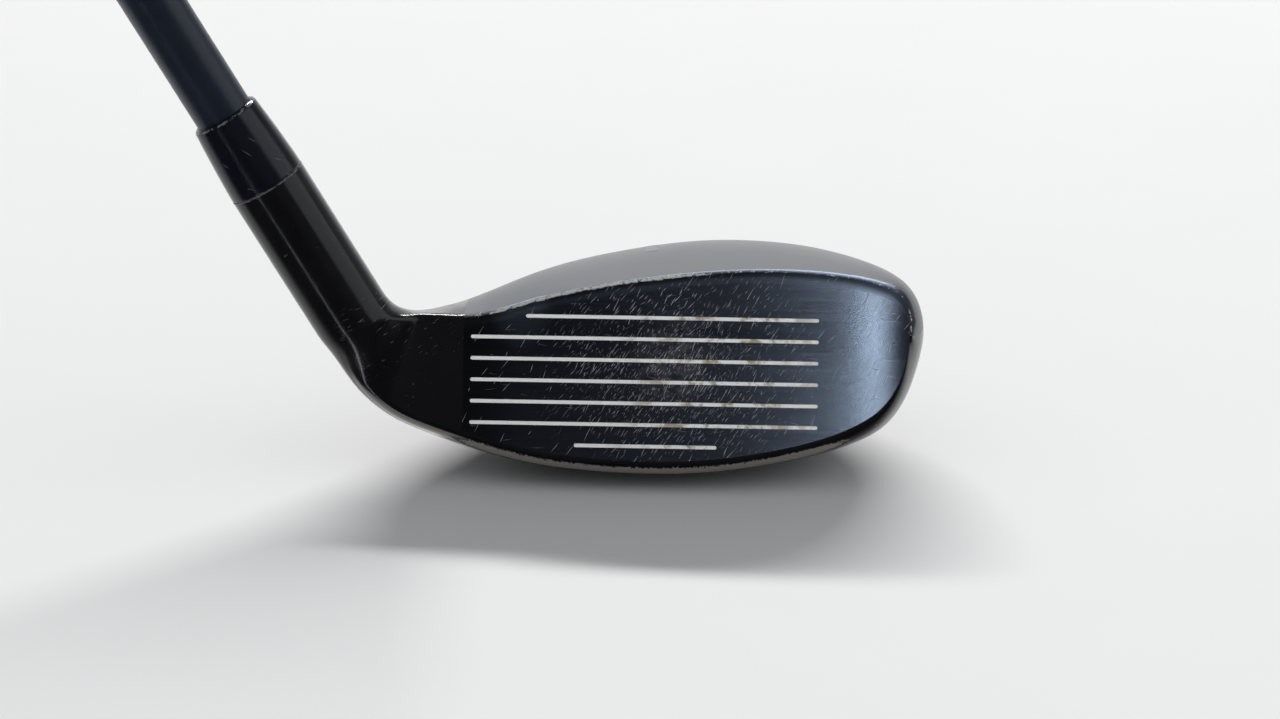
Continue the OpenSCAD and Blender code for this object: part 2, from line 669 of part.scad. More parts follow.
module grip_cap() {
  color([0.09, 0.09, 0.09])
  up_the_shaft(sleeve_end) rotate_extrude($fn = fine)
    polygon(concat(
      [
        [butt_d / 2 + tape, 0],
        [grip_butt_d / 2, 0],
        [grip_butt_d / 2 + 0.7, 1],
        [grip_butt_d / 2 + 0.7, cap_h - 4]
      ],
      [for (a = [15:15:90]) [
        grip_butt_d / 2 + 0.7 - 4 + 4 * cos(a), cap_h - 4 + 4 * sin(a)
      ]],
      [[vent_d / 2, cap_h], [vent_d / 2, cap_h - cap_end], [butt_d / 2 + tape, cap_h - cap_end]]
    ));
}

head_body();
face_plate();
crown_plate();
score_line_paint();
alignment_mark();
sole_badge();
badge_adhesive();
weight_screw();
weight_seal();
hot_melt();
hosel_stop();
hosel_epoxy();
ferrule();
shaft();
tip_plug();
grip_tape();
grip_sleeve();
grip_cap();
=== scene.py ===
import json
import math
import bpy
import bmesh
import numpy as np
from mathutils import Matrix, Vector

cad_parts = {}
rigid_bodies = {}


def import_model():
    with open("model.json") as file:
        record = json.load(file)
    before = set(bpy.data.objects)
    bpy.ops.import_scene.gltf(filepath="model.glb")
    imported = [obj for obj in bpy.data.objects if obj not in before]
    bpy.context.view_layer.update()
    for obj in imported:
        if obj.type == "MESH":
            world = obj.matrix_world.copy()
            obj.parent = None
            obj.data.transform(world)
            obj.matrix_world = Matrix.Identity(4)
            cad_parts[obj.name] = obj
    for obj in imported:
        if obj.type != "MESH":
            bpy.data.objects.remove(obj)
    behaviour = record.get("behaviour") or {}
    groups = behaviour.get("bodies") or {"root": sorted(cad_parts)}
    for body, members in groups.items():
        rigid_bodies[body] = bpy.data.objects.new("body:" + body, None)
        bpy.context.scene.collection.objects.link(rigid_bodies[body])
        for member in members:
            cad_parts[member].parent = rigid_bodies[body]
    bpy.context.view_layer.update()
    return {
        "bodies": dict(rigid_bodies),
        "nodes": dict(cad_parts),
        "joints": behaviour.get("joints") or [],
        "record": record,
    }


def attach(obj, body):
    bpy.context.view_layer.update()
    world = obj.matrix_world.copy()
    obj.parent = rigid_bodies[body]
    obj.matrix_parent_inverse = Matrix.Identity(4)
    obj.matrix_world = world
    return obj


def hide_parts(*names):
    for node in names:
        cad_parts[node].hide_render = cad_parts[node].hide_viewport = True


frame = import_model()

mm = 0.001


def say(stage):
    print("hybrid:", stage)


def addNode(tree, kind, place=(0, 0), inputs=None, **settings):
    node = tree.nodes.new(kind)
    node.location = place
    for name, value in settings.items():
        setattr(node, name, value)
    for name, value in (inputs or {}).items():
        node.inputs[name].default_value = value
    return node


def joinNodes(source, target):
    target.id_data.links.new(source, target)


def isSocket(value):
    return isinstance(value, bpy.types.NodeSocket)


def mathNode(operation, a, b=None, clamp=False):
    tree = (a if isSocket(a) else b).id_data
    node = addNode(tree, "ShaderNodeMath", operation=operation, use_clamp=clamp)
    for slot, value in enumerate((a, b)):
        if isSocket(value):
            joinNodes(value, node.inputs[slot])
        elif value is not None:
            node.inputs[slot].default_value = value
    return node.outputs[0]


def plus(a, b, clamp=False):
    return mathNode("ADD", a, b, clamp)


def minus(a, b):
    return mathNode("SUBTRACT", a, b)


def times(a, b, clamp=False):
    return mathNode("MULTIPLY", a, b, clamp)


def divided(a, b):
    return mathNode("DIVIDE", a, b)


def larger(a, b):
    return mathNode("MAXIMUM", a, b)


def distance(a):
    return mathNode("ABSOLUTE", a)


def rampNode(source, low, high):
    # 0 below low and 1 above high, eased
    node = addNode(source.id_data, "ShaderNodeMapRange", interpolation_type="SMOOTHSTEP",
                   inputs={"From Min": low, "From Max": high})
    joinNodes(source, node.inputs["Value"])
    return node.outputs["Result"]


def mixColour(mask, first, second):
    node = addNode(mask.id_data, "ShaderNodeMix", data_type="RGBA")
    for slot, value in ((0, mask), (6, first), (7, second)):
        if isSocket(value):
            joinNodes(value, node.inputs[slot])
        else:
            node.inputs[slot].default_value = (*value, 1)
    return node.outputs[2]


def splitUp(vector):
    node = addNode(vector.id_data, "ShaderNodeSeparateXYZ")
    joinNodes(vector, node.inputs[0])
    return node.outputs


def startGroup(name, values, masks=("Mask",)):
    # a group with the place as a vector, then plain numbers, and masks or heights out
    group = bpy.data.node_groups.new(name, "ShaderNodeTree")
    group.interface.new_socket("Place", in_out="INPUT", socket_type="NodeSocketVector")
    for label, value in values.items():
        group.interface.new_socket(label, in_out="INPUT", socket_type="NodeSocketFloat").default_value = value
    for label in masks:
        group.interface.new_socket(label, in_out="OUTPUT", socket_type="NodeSocketFloat")
    return group, group.nodes.new("NodeGroupInput").outputs, group.nodes.new("NodeGroupOutput").inputs


def dividedVector(vector, size):
    spread = addNode(vector.id_data, "ShaderNodeCombineXYZ")
    for axis in "XYZ":
        joinNodes(size, spread.inputs[axis])
    scaled = addNode(vector.id_data, "ShaderNodeVectorMath", operation="DIVIDE")
    joinNodes(vector, scaled.inputs[0])
    joinNodes(spread.outputs[0], scaled.inputs[1])
    return scaled.outputs[0]


def useGroup(tree, group, **values):
    # places the group and returns its first output
    node = addNode(tree, "ShaderNodeGroup", node_tree=group)
    for name, value in values.items():
        target = node.inputs[name]
        if isSocket(value):
            joinNodes(value, target)
        else:
            target.default_value = value
    return node.outputs[0]


def makeScratchGroup():
    # separate short dashes, one to a cell of a random grid turned to one direction
    group, into, out = startGroup("straightScratches", {
        "Turn": 1.0, "Length": 2.0, "Spacing": 0.8, "Width": 0.04, "Amount": 0.5, "Offset": 0.0})
    turn = addNode(group, "ShaderNodeCombineXYZ")
    joinNodes(into["Turn"], turn.inputs["Z"])
    turned = addNode(group, "ShaderNodeVectorRotate", rotation_type="EULER_XYZ")
    joinNodes(into["Place"], turned.inputs["Vector"])
    joinNodes(turn.outputs[0], turned.inputs["Rotation"])
    parts = splitUp(turned.outputs[0])
    spot = addNode(group, "ShaderNodeCombineXYZ")
    shifted = plus(parts["X"], into["Offset"])
    joinNodes(divided(shifted, into["Length"]), spot.inputs["X"])
    joinNodes(divided(parts["Y"], into["Spacing"]), spot.inputs["Y"])
    cells = addNode(group, "ShaderNodeTexVoronoi", voronoi_dimensions="2D", feature="F1", inputs={"Scale": 1.0})
    joinNodes(spot.outputs[0], cells.inputs["Vector"])
    away = addNode(group, "ShaderNodeVectorMath", operation="SUBTRACT")
    joinNodes(spot.outputs[0], away.inputs[0])
    joinNodes(cells.outputs["Position"], away.inputs[1])
    off = splitUp(away.outputs[0])
    dice = addNode(group, "ShaderNodeSeparateColor")
    joinNodes(cells.outputs["Color"], dice.inputs[0])
    along = times(off["X"], into["Length"])
    across = times(off["Y"], into["Spacing"])
    lean = times(minus(dice.outputs[1], 0.5), 0.5)
    across = plus(across, times(along, lean))
    span = times(into["Length"], plus(times(dice.outputs[2], 0.35), 0.08))
    inside = minus(1.0, divided(distance(along), span))
    thin = times(into["Width"], plus(inside, 0.25))
    edge = minus(1.0, divided(distance(across), thin))
    shown = mathNode("LESS_THAN", dice.outputs[0], into["Amount"])
    body = times(times(edge, 3.0, clamp=True), mathNode("GREATER_THAN", inside, 0.0))
    joinNodes(times(body, shown), out["Mask"])
    return group


def makePatchGroup():
    # broad uneven patches
    group, into, out = startGroup("unevenPatches", {"Size": 10.0, "Fill": 0.5, "Softness": 0.1})
    noise = addNode(group, "ShaderNodeTexNoise", inputs={"Scale": 1.0, "Detail": 5.0, "Roughness": 0.62})
    joinNodes(dividedVector(into["Place"], into["Size"]), noise.inputs["Vector"])
    middle = minus(0.75, times(into["Fill"], 0.5))
    over = minus(noise.outputs["Fac"], middle)
    soft = divided(over, into["Softness"])
    joinNodes(plus(soft, 0.5, clamp=True), out["Mask"])
    return group


def makeBrushGroup():
    # fine lines left by brushing along X
    group, into, out = startGroup("brushedLines", {"Length": 14.0, "Width": 0.09}, ("Height", "Coarse"))
    parts = splitUp(into["Place"])
    for label, factor, detail in (("Height", 1.0, 3.0), ("Coarse", 6.0, 2.0)):
        spot = addNode(group, "ShaderNodeCombineXYZ")
        joinNodes(divided(parts["X"], into["Length"]), spot.inputs["X"])
        wide = times(into["Width"], factor)
        joinNodes(divided(parts["Y"], wide), spot.inputs["Y"])
        noise = addNode(group, "ShaderNodeTexNoise", inputs={"Scale": 1.0, "Detail": detail, "Roughness": 0.6})
        joinNodes(spot.outputs[0], noise.inputs["Vector"])
        joinNodes(noise.outputs["Fac"], out[label])
    return group


def makeChipGroup():
    # flaked spots that crowd a line; Distance is how far the surface lies from it
    group, into, out = startGroup("edgeChips", {"Distance": 0.0, "Reach": 0.6, "Grain": 0.5, "Amount": 0.5})
    noise = addNode(group, "ShaderNodeTexNoise", inputs={"Scale": 1.0, "Detail": 6.0, "Roughness": 0.7})
    joinNodes(dividedVector(into["Place"], into["Grain"]), noise.inputs["Vector"])
    away = distance(into["Distance"])
    far = divided(away, into["Reach"])
    fall = minus(into["Amount"], times(far, far))
    lift = plus(times(minus(noise.outputs["Fac"], 0.5), 3.2), fall)
    joinNodes(times(lift, 7.0, clamp=True), out["Mask"])
    return group


# what shows of the wear along the edges of the face; X is along the head in millimetres
edgeWear = {"heelChips": (13.0, 4.0, -30.0, -22.0), "toeChips": (4.0, 9.0, 31.0, 26.0), "chipShare": (0.42, -0.02, 0.12),
            "chipOff": 0.15, "leadSpan": (-33.0, -26.0, 37.0, 27.0), "leadShare": (1.55, 0.6), "leadOff": 0.45}


def spanMask(along, ends):
    # 1 inside a stretch, easing off at both of its ends
    return times(rampNode(along, ends[0], ends[1]), rampNode(along, ends[2], ends[3]))


def makeWearGroup(name):
    group, into, out = startGroup(name, {"Along": 0.0, "Away": 0.0})
    return group, into["Place"], into["Along"], into["Away"], out["Mask"]


def makeTopChipGroup():
    # paint flaked off the top edge: nearly continuous at the heel end, a few flakes towards the toe
    group, place, along, away, mask = makeWearGroup("topEdgeChips")
    heelShare, toeShare, less = edgeWear["chipShare"]
    amount = plus(times(spanMask(along, edgeWear["heelChips"]), heelShare), times(spanMask(along, edgeWear["toeChips"]), toeShare))
    joinNodes(useGroup(group, chipGroup, Place=place, Distance=minus(away, edgeWear["chipOff"]), Reach=0.55, Grain=0.9,
                       Amount=minus(amount, less)), mask)
    return group


def makeLeadWearGroup():
    # bare metal along the leading edge, only under the face
    group, place, along, away, mask = makeWearGroup("leadingEdgeWear")
    share, less = edgeWear["leadShare"]
    amount = minus(times(spanMask(along, edgeWear["leadSpan"]), share), less)
    joinNodes(useGroup(group, chipGroup, Place=place, Distance=plus(away, edgeWear["leadOff"]), Reach=0.95, Grain=0.35,
                       Amount=amount), mask)
    return group


say("shared effects")
scratchGroup = makeScratchGroup()
patchGroup = makePatchGroup()
brushGroup = makeBrushGroup()
chipGroup = makeChipGroup()
topChipGroup = makeTopChipGroup()
leadWearGroup = makeLeadWearGroup()


def startMaterial(name, settings):
    material = bpy.data.materials.new(name)
    material.use_nodes = True
    tree = material.node_tree
    shader = tree.nodes["Principled BSDF"]
    for label, value in settings.items():
        shader.inputs[label].default_value = value
    material.diffuse_color = settings.get("Base Color", (0.5, 0.5, 0.5, 1))
    place = addNode(tree, "ShaderNodeTexCoord", (-1600, 0))
    scaled = addNode(tree, "ShaderNodeVectorMath", (-1400, 0), operation="SCALE", inputs={"Scale": 1000.0})
    joinNodes(place.outputs["Object"], scaled.inputs[0])
    return material, tree, shader, scaled.outputs[0]


def bumpFrom(tree, shader, height, depth, strength=1.0):
    bump = addNode(tree, "ShaderNodeBump", (-300, -400), inputs={"Strength": strength, "Distance": depth * mm})
    joinNodes(height, bump.inputs["Height"])
    joinNodes(bump.outputs["Normal"], shader.inputs["Normal"])


def alongAndAway(tree, name):
    # millimetres along an edge of the face, and away from it
    uv = addNode(tree, "ShaderNodeUVMap", (-1600, -300), uv_map=name)
    parts = splitUp(uv.outputs[0])
    return parts["X"], parts["Y"]


faceFinish = {
    "black": (0.045, 0.052, 0.072), "heel": (0.030, 0.031, 0.036), "toeBrushAndSheen": (0.12, 0.155, 0.21), "worn": (0.28, 0.275, 0.29),
    "bare": (0.56, 0.57, 0.60),
    "chip": (0.50, 0.49, 0.46), "edge": (0.26, 0.245, 0.225), "paintedGleam": (0.17, 0.22, 0.28),
    # round spots on the face: middle, then reach
    "strikeSpot": ((3.0, 17.0), (26.0, 24.0)), "heartSpot": ((2.0, 14.0), (17.0, 13.0)), "wornSpot": ((3.5, 15.5), (7.0, 9.0)),
    "gleamSpot": ((-20.5, 24.0), (5.5, 8.0)), "heelSpan": (-19.0, -28.5), "toeSheenSpan": (12.0, 36.0, 42.2, 38.8),
    # scratches: turn, length, spacing, width, share shown, offset, where, strength
    "scratches": (
        (-1.0, 2.3, 0.62, 0.046, 0.62, 0.0, "strike", 0.95), (-0.85, 1.3, 0.42, 0.036, 0.55, 7.0, "heart", 0.85),
        (-0.7, 1.5, 0.75, 0.034, 0.30, 3.0, "strike", 0.7), (-1.05, 4.2, 2.3, 0.045, 0.40, 11.0, "all", 0.6),
        (-1.3, 0.9, 0.36, 0.032, 0.45, 19.0, "heart", 0.7), (0.02, 2.6, 1.6, 0.03, 0.15, 23.0, "all", 0.35)),
}


def faceVector(place):
    # millimetres along the face: X towards the toe, Y up the face
    turned = addNode(place.id_data, "ShaderNodeVectorRotate", (-1200, 0), rotation_type="X_AXIS",
                     inputs={"Angle": math.radians(-(90 - headShape["loft"]))})
    joinNodes(place, turned.inputs["Vector"])
    return turned.outputs[0]


def spotMask(across, upFace, middle, reach):
    # a soft round spot on the face
    x = divided(minus(across, middle[0]), reach[0])
    y = divided(minus(upFace, middle[1]), reach[1])
    far = plus(times(x, x), times(y, y))
    return rampNode(far, 1.0, 0.0)


def makeFaceSteel():
    material, tree, shader, place = startMaterial("brushedBlackFace", {
        "Base Color": (0.03, 0.034, 0.047, 1), "Metallic": 1.0, "Roughness": 0.3, "Anisotropic": 0.3})
    flat = faceVector(place)
    parts = splitUp(flat)
    across, upFace = parts["X"], parts["Y"]
    brush = useGroup(tree, brushGroup, Place=flat, Length=16.0, Width=0.085).node.outputs
    zone = useGroup(tree, patchGroup, Place=flat, Size=5.0, Fill=0.6, Softness=0.2)
    zoneFine = useGroup(tree, patchGroup, Place=flat, Size=1.9, Fill=0.55, Softness=0.15)
    zones = {"strike": times(spotMask(across, upFace, *faceFinish["strikeSpot"]), zone),
             "heart": times(spotMask(across, upFace, *faceFinish["heartSpot"]), zoneFine)}
    marks = None
    for turn, length, spacing, width, amount, offset, where, weight in faceFinish["scratches"]:
        dash = useGroup(tree, scratchGroup, Place=flat, Turn=turn, Length=length, Spacing=spacing, Width=width,
                        Amount=amount, Offset=offset)
        if where in zones:
            dash = times(dash, zones[where])
        dash = times(dash, weight)
        marks = dash if marks is None else larger(marks, dash)
    wornMask = times(times(spotMask(across, upFace, *faceFinish["wornSpot"]), zoneFine), 0.34)
    # the bluish band near the toe: partly a real brushed satin patch, partly a painted reflection of a light to the
    # right
    toeSheenSide = spanMask(across, faceFinish["toeSheenSpan"])
    grain = plus(times(brush["Coarse"], 0.9), 0.45)
    slanted = addNode(tree, "ShaderNodeVectorRotate", rotation_type="Z_AXIS", inputs={"Angle": math.radians(-68)})
    joinNodes(flat, slanted.inputs["Vector"])
    sweep = useGroup(tree, brushGroup, Place=slanted.outputs[0], Length=5.0, Width=0.11)
    sweepTone = plus(times(sweep, 1.5), 0.1)
    colour = mixColour(rampNode(across, *faceFinish["heelSpan"]), faceFinish["black"], faceFinish["heel"])
    # painted reflection mixed with brushing: the toe band lightens the base colour
    toeBrushAndSheenMask = times(times(toeSheenSide, sweepTone), grain, clamp=True)
    colour = mixColour(toeBrushAndSheenMask, colour, faceFinish["toeBrushAndSheen"])
    # painted highlight: a pale bluish gleam on the face near the heel
    gleam = spotMask(across, upFace, *faceFinish["gleamSpot"])
    colour = mixColour(times(times(gleam, grain), 0.5), colour, faceFinish["paintedGleam"])
    colour = mixColour(wornMask, colour, faceFinish["worn"])
    colour = mixColour(marks, colour, faceFinish["bare"])
    # chips and bare metal along the top and leading edges
    alongTop, fromTop = alongAndAway(tree, "fromTopEdge")
    alongLead, fromLead = alongAndAway(tree, "fromLeadingEdge")
    chips = useGroup(tree, topChipGroup, Place=place, Along=alongTop, Away=fromTop)
    colour = mixColour(chips, colour, faceFinish["chip"])
    lead = useGroup(tree, leadWearGroup, Place=place, Along=alongLead, Away=fromLead)
    colour = mixColour(lead, colour, faceFinish["edge"])
    joinNodes(colour, shader.inputs["Base Color"])
    raw = larger(chips, lead)
    joinNodes(minus(1.0, larger(raw, times(marks, 0.6))), shader.inputs["Metallic"])
    rough = plus(times(brush["Coarse"], 0.12), 0.19)
    rough = plus(rough, times(larger(marks, raw), 0.3))
    rough = plus(rough, times(rampNode(distance(fromTop), 2.2, 0.4), 0.27))
    joinNodes(rough, shader.inputs["Roughness"])
    height = minus(times(brush["Height"], 0.35), times(larger(marks, raw), 0.8))
    bumpFrom(tree, shader, height, 0.025, 0.6)
    return material


def frontVector(parts):
    # millimetres seen from the front: X along the head, Y upwards
    made = addNode(parts["X"].id_data, "ShaderNodeCombineXYZ")
    joinNodes(parts["X"], made.inputs["X"])
    joinNodes(parts["Z"], made.inputs["Y"])
    return made.outputs[0]


def alongShaft(place):
    # distance up the shaft line from the foot of the hosel
    offset = addNode(place.id_data, "ShaderNodeVectorMath", operation="SUBTRACT")
    offset.inputs[1].default_value = tuple(hoselFoot)
    joinNodes(place, offset.inputs[0])
    made = addNode(place.id_data, "ShaderNodeVectorMath", operation="DOT_PRODUCT")
    made.inputs[1].default_value = tuple(upShaft)
    joinNodes(offset.outputs[0], made.inputs[0])
    return made.outputs["Value"]


platingFinish = {"dark": (0.005, 0.005, 0.007), "light": (0.010, 0.010, 0.012), "scuff": (0.30, 0.29, 0.28),
                 "scuffSpot": ((-41.0, 25.0), (11.0, 9.0)), "rimAt": 25.25, "roughness": 0.14}


def makeBlackPlating():
    material, tree, shader, place = startMaterial("glossBlackPlating", {
        "Base Color": (0.006, 0.006, 0.008, 1), "Metallic": 0.0, "Roughness": 0.16, "Specular IOR Level": 0.42})
    fine = useGroup(tree, patchGroup, Place=place, Size=0.5, Fill=0.5, Softness=0.6)
    broad = useGroup(tree, patchGroup, Place=place, Size=9.0, Fill=0.45, Softness=0.5)
    parts = splitUp(place)
    front = frontVector(parts)
    rub = useGroup(tree, scratchGroup, Place=front, Turn=-0.45, Length=1.9, Spacing=0.5, Width=0.035,
                   Amount=0.45, Offset=5.0)
    dots = useGroup(tree, scratchGroup, Place=front, Turn=-0.9, Length=0.5, Spacing=1.6, Width=0.05,
                    Amount=0.2, Offset=9.0)
    neckZone = spotMask(parts["X"], parts["Z"], *platingFinish["scuffSpot"])
    rubZone = useGroup(tree, patchGroup, Place=place, Size=3.0, Fill=0.5, Softness=0.08)
    dotZone = useGroup(tree, patchGroup, Place=place, Size=6.0, Fill=0.3, Softness=0.08)
    marks = larger(times(rub, times(rubZone, neckZone)), times(dots, dotZone))
    rim = useGroup(tree, chipGroup, Place=place, Distance=minus(alongShaft(place), platingFinish["rimAt"]),
                   Reach=0.22, Grain=0.6, Amount=0.32)
    marks = larger(marks, times(rim, 0.8))
    colour = mixColour(times(broad, 0.6), platingFinish["dark"], platingFinish["light"])
    colour = mixColour(times(marks, 0.7), colour, platingFinish["scuff"])
    alongLead, fromLead = alongAndAway(tree, "fromLeadingEdge")
    lead = useGroup(tree, leadWearGroup, Place=place, Along=alongLead, Away=fromLead)
    colour = mixColour(lead, colour, faceFinish["edge"])
    joinNodes(colour, shader.inputs["Base Color"])
    rough = plus(times(broad, 0.08), platingFinish["roughness"])
    rough = plus(rough, times(larger(marks, lead), 0.35))
    joinNodes(rough, shader.inputs["Roughness"])
    height = minus(times(fine, 0.10), larger(marks, lead))
    bumpFrom(tree, shader, height, 0.02, 0.5)
    return material


crownFinish = {"dark": (0.013, 0.019, 0.030), "light": (0.028, 0.037, 0.052), "haze": (0.045, 0.053, 0.066),
               "hair": (0.3, 0.31, 0.33), "roughness": 0.28}


def makeCrownPaint():
    material, tree, shader, place = startMaterial("satinCrownPaint", {
        "Base Color": (0.03, 0.037, 0.05, 1), "Metallic": 0.0, "Roughness": 0.29, "Specular IOR Level": 0.5,
        "Coat Weight": 0.12, "Coat Roughness": 0.2})
    flake = addNode(tree, "ShaderNodeTexNoise", inputs={"Scale": 9.0, "Detail": 4.0, "Roughness": 0.75})
    joinNodes(place, flake.inputs["Vector"])
    broad = useGroup(tree, patchGroup, Place=place, Size=14.0, Fill=0.5, Softness=0.6)
    colour = mixColour(flake.outputs["Fac"], crownFinish["dark"], crownFinish["light"])
    colour = mixColour(times(broad, 0.25), colour, crownFinish["haze"])
    alongTop, fromTop = alongAndAway(tree, "fromTopEdge")
    chips = useGroup(tree, topChipGroup, Place=place, Along=alongTop, Away=fromTop)
    colour = mixColour(chips, colour, faceFinish["chip"])
    hairs = useGroup(tree, scratchGroup, Place=place, Turn=0.35, Length=5.0, Spacing=2.2, Width=0.03,
                     Amount=0.35, Offset=2.0)
    colour = mixColour(times(hairs, 0.12), colour, crownFinish["hair"])
    joinNodes(colour, shader.inputs["Base Color"])
    rough = plus(times(flake.outputs["Fac"], 0.10), crownFinish["roughness"])
    joinNodes(rough, shader.inputs["Roughness"])
    height = minus(times(flake.outputs["Fac"], 0.2), chips)
    bumpFrom(tree, shader, height, 0.03, 0.4)
    return material


lineFinish = {"white": (0.98, 0.98, 0.98), "grey": (0.86, 0.86, 0.85), "dirt": (0.30, 0.24, 0.12), "dirtMiddle": 12.0,
              "dirtReach": 24.0}


def makeLineWhite():
    material, tree, shader, place = startMaterial("scoringLineWhite", {
        "Base Color": (0.86, 0.85, 0.80, 1), "Roughness": 0.6, "Metallic": 0.0})
    flat = faceVector(place)
    parts = splitUp(flat)
    strike = rampNode(distance(minus(parts["X"], lineFinish["dirtMiddle"])), lineFinish["dirtReach"], 4.0)
    dirt = useGroup(tree, patchGroup, Place=flat, Size=2.6, Fill=0.42, Softness=0.12)
    fine = useGroup(tree, patchGroup, Place=flat, Size=0.5, Fill=0.5, Softness=0.3)
    shown = times(dirt, strike)
    colour = mixColour(times(fine, 0.3), lineFinish["white"], lineFinish["grey"])
    colour = mixColour(times(shown, 0.85), colour, lineFinish["dirt"])
    joinNodes(colour, shader.inputs["Base Color"])
    joinNodes(plus(times(fine, 0.2), 0.5), shader.inputs["Roughness"])
    bumpFrom(tree, shader, fine, 0.03, 0.5)
    return material


def makePlainFinish(name, settings, dark, light, size, depth, scratches=0.0, scratchColour=(0.5, 0.5, 0.5), rims=None):
    # one base recipe for the smaller pieces: two tones, fine grain, and marks if it has any
    material, tree, shader, place = startMaterial(name, {"Base Color": (*light, 1), **settings})
    broad = useGroup(tree, patchGroup, Place=place, Size=size, Fill=0.5, Softness=0.5)
    fine = useGroup(tree, patchGroup, Place=place, Size=size * 0.08, Fill=0.5, Softness=0.4)
    tone = plus(times(broad, 0.7), times(fine, 0.3))
    colour = mixColour(tone, dark, light)
    height = fine
    rough = plus(times(tone, 0.12), settings.get("Roughness", 0.5) - 0.06)
    if rims:
        s = alongShaft(place)
        low = useGroup(tree, chipGroup, Place=place, Distance=minus(s, rims[0]), Reach=0.2, Grain=0.6, Amount=0.3)
        high = useGroup(tree, chipGroup, Place=place, Distance=minus(s, rims[1]), Reach=0.35, Grain=0.9, Amount=0.12)
        worn = larger(low, high)
        colour = mixColour(times(worn, 0.7), colour, scratchColour)
    if scratches:
        parts = splitUp(place)
        marks = useGroup(tree, scratchGroup, Place=frontVector(parts), Turn=0.4, Length=2.4, Spacing=1.1, Width=0.035,
                         Amount=scratches, Offset=1.0)
        colour = mixColour(times(marks, 0.6), colour, scratchColour)
        height = minus(height, marks)
        rough = plus(rough, times(marks, 0.15))
    joinNodes(colour, shader.inputs["Base Color"])
    joinNodes(rough, shader.inputs["Roughness"])
    bumpFrom(tree, shader, height, depth, 0.6)
    return material


headShape = {
    "lie": 59.3, "loft": 21.0, "faceForward": 18.15, "shaftForward": 8.0, "bulgeRadius": 500.0,
    "neckX": -36.0, "bendZ": 34.5, "bendRadius": 7.9, "hoselRadius": 6.35, "hoselLength": 25.3,
    "topEdge": 1.4, "leadEdge": 1.8, "carry": 3.0, "bendShare": 0.86, "hollowX": -30.1, "toeFrom": 28.0, "toeRound": 0.0003,
    "hollowAt": (0, 16, 24), "hollowScale": (0.945, 0.9, 0.9),
    "edgeX": [-36, -28, -19, -10, 0, 10, 19.5, 28.2, 34.4, 38.8, 42.2, 42.9],
    "topZ": [26.7, 26.2, 29.3, 31.5, 33, 34.1, 34.5, 34.1, 33.3, 32, 30.2, 24.2],
    "leadZ": [9.4, 7, 4.8, 3.9, 3.5, 3.8, 5.1, 6.9, 9.2, 11.7, 16.9, 24.2],
    "ridgeX": [-36, -28, -19, -10, 0, 10, 19.5, 28.6, 37.4, 45, 46.3, 42.9],
    "ridgeY": [11, 23, 31.5, 37, 40, 41, 39.5, 35.5, 27.5, 15, 1, -7],
    "ridgeZ": [15.5, 15, 15, 15.2, 15.7, 16.2, 16.8, 17.6, 18.8, 19.8, 21, 24.2],
    "crownSlope": [-0.25, -0.05, -0.05, -0.09, -0.07, -0.06, -0.08, -0.08, -0.08, 0, 0.05, -0.4],
    "crownReach": [0.5, 0.5, 0.55, 0.58, 0.58, 0.58, 0.58, 0.56, 0.52, 0.45, 0.35, 0.3],
    "crownDrop": [0.65, 0.65, 0.65, 0.65, 0.65, 0.65, 0.65, 0.65, 0.62, 0.6, 0.6, 0.6],
    "soleSlope": [0.8, 0.72, 0.63, 0.56, 0.54, 0.56, 0.61, 0.68, 0.8, 0.95, 1, 1],
    "soleReach": [0.4, 0.36, 0.33, 0.33, 0.33, 0.33, 0.33, 0.33, 0.35, 0.38, 0.4, 0.4],
    "soleRise": [0.7, 0.8, 0.85, 0.9, 0.9, 0.9, 0.88, 0.85, 0.75, 0.65, 0.6, 0.6],
    "easeRows": (36, 46, 68, 75), "easeSpread": 5.0,
    # steps of the visible mesh
    "stepsFace": 26, "stepsCorner": 8, "stepsCrown": 56, "stepsSole": 56, "rowsHead": 190, "rowsBend": 60, "rowsHosel": 6,
}


def rad(degrees):
    return math.radians(degrees)


def splineAt(name, u):
    values = headShape[name]
    last = len(values) - 1
    before = 2 * values[0] - values[1]
    after = values[last - 1] if name == "edgeX" else 2 * values[last] - values[last - 1]
    held = [before, *values, after]
    t = max(0.0, min(1.0, u)) * last
    k = min(int(t), last - 1)
    f = t - k
    weights = ((1 - f) ** 3, 3 * f ** 3 - 6 * f * f + 4, -3 * f ** 3 + 3 * f * f + 3 * f + 1, f ** 3)
    return sum(w * held[k + i] for i, w in enumerate(weights)) / 6


def faceY(x, z):
    flat = z * math.tan(rad(headShape["loft"])) - headShape["faceForward"]
    return flat + x * x / (2 * headShape["bulgeRadius"]) + headShape["toeRound"] * max(0.0, x - headShape["toeFrom"]) ** 3


def bezierAt(points, t):
    a, b, c, d = points
    return (1 - t) ** 3 * a + 3 * (1 - t) ** 2 * t * b + 3 * (1 - t) * t * t * c + t ** 3 * d


def arcAt(points, t):
    a, b, c = points
    return (1 - t) ** 2 * a + 2 * (1 - t) * t * b + t * t * c


def edgeAndRidge(u, level):
    x = splineAt("edgeX", u)
    z = splineAt(level, u)
    edge = np.array((x, faceY(x, z), z))
    ridge = np.array((splineAt("ridgeX", u), splineAt("ridgeY", u), splineAt("ridgeZ", u)))
    run = max(math.hypot(*(ridge - edge)[:2]), 1e-6)
    return edge, ridge, run


def crownCurve(u):
    top, ridge, run = edgeAndRidge(u, "topZ")
    way = np.array(((ridge[0] - top[0]) / run, (ridge[1] - top[1]) / run, splineAt("crownSlope", u)))
    drop = np.array((0, 0, splineAt("crownDrop", u) * (top[2] - ridge[2])))
    return top, top + way * splineAt("crownReach", u) * run, ridge + drop, ridge


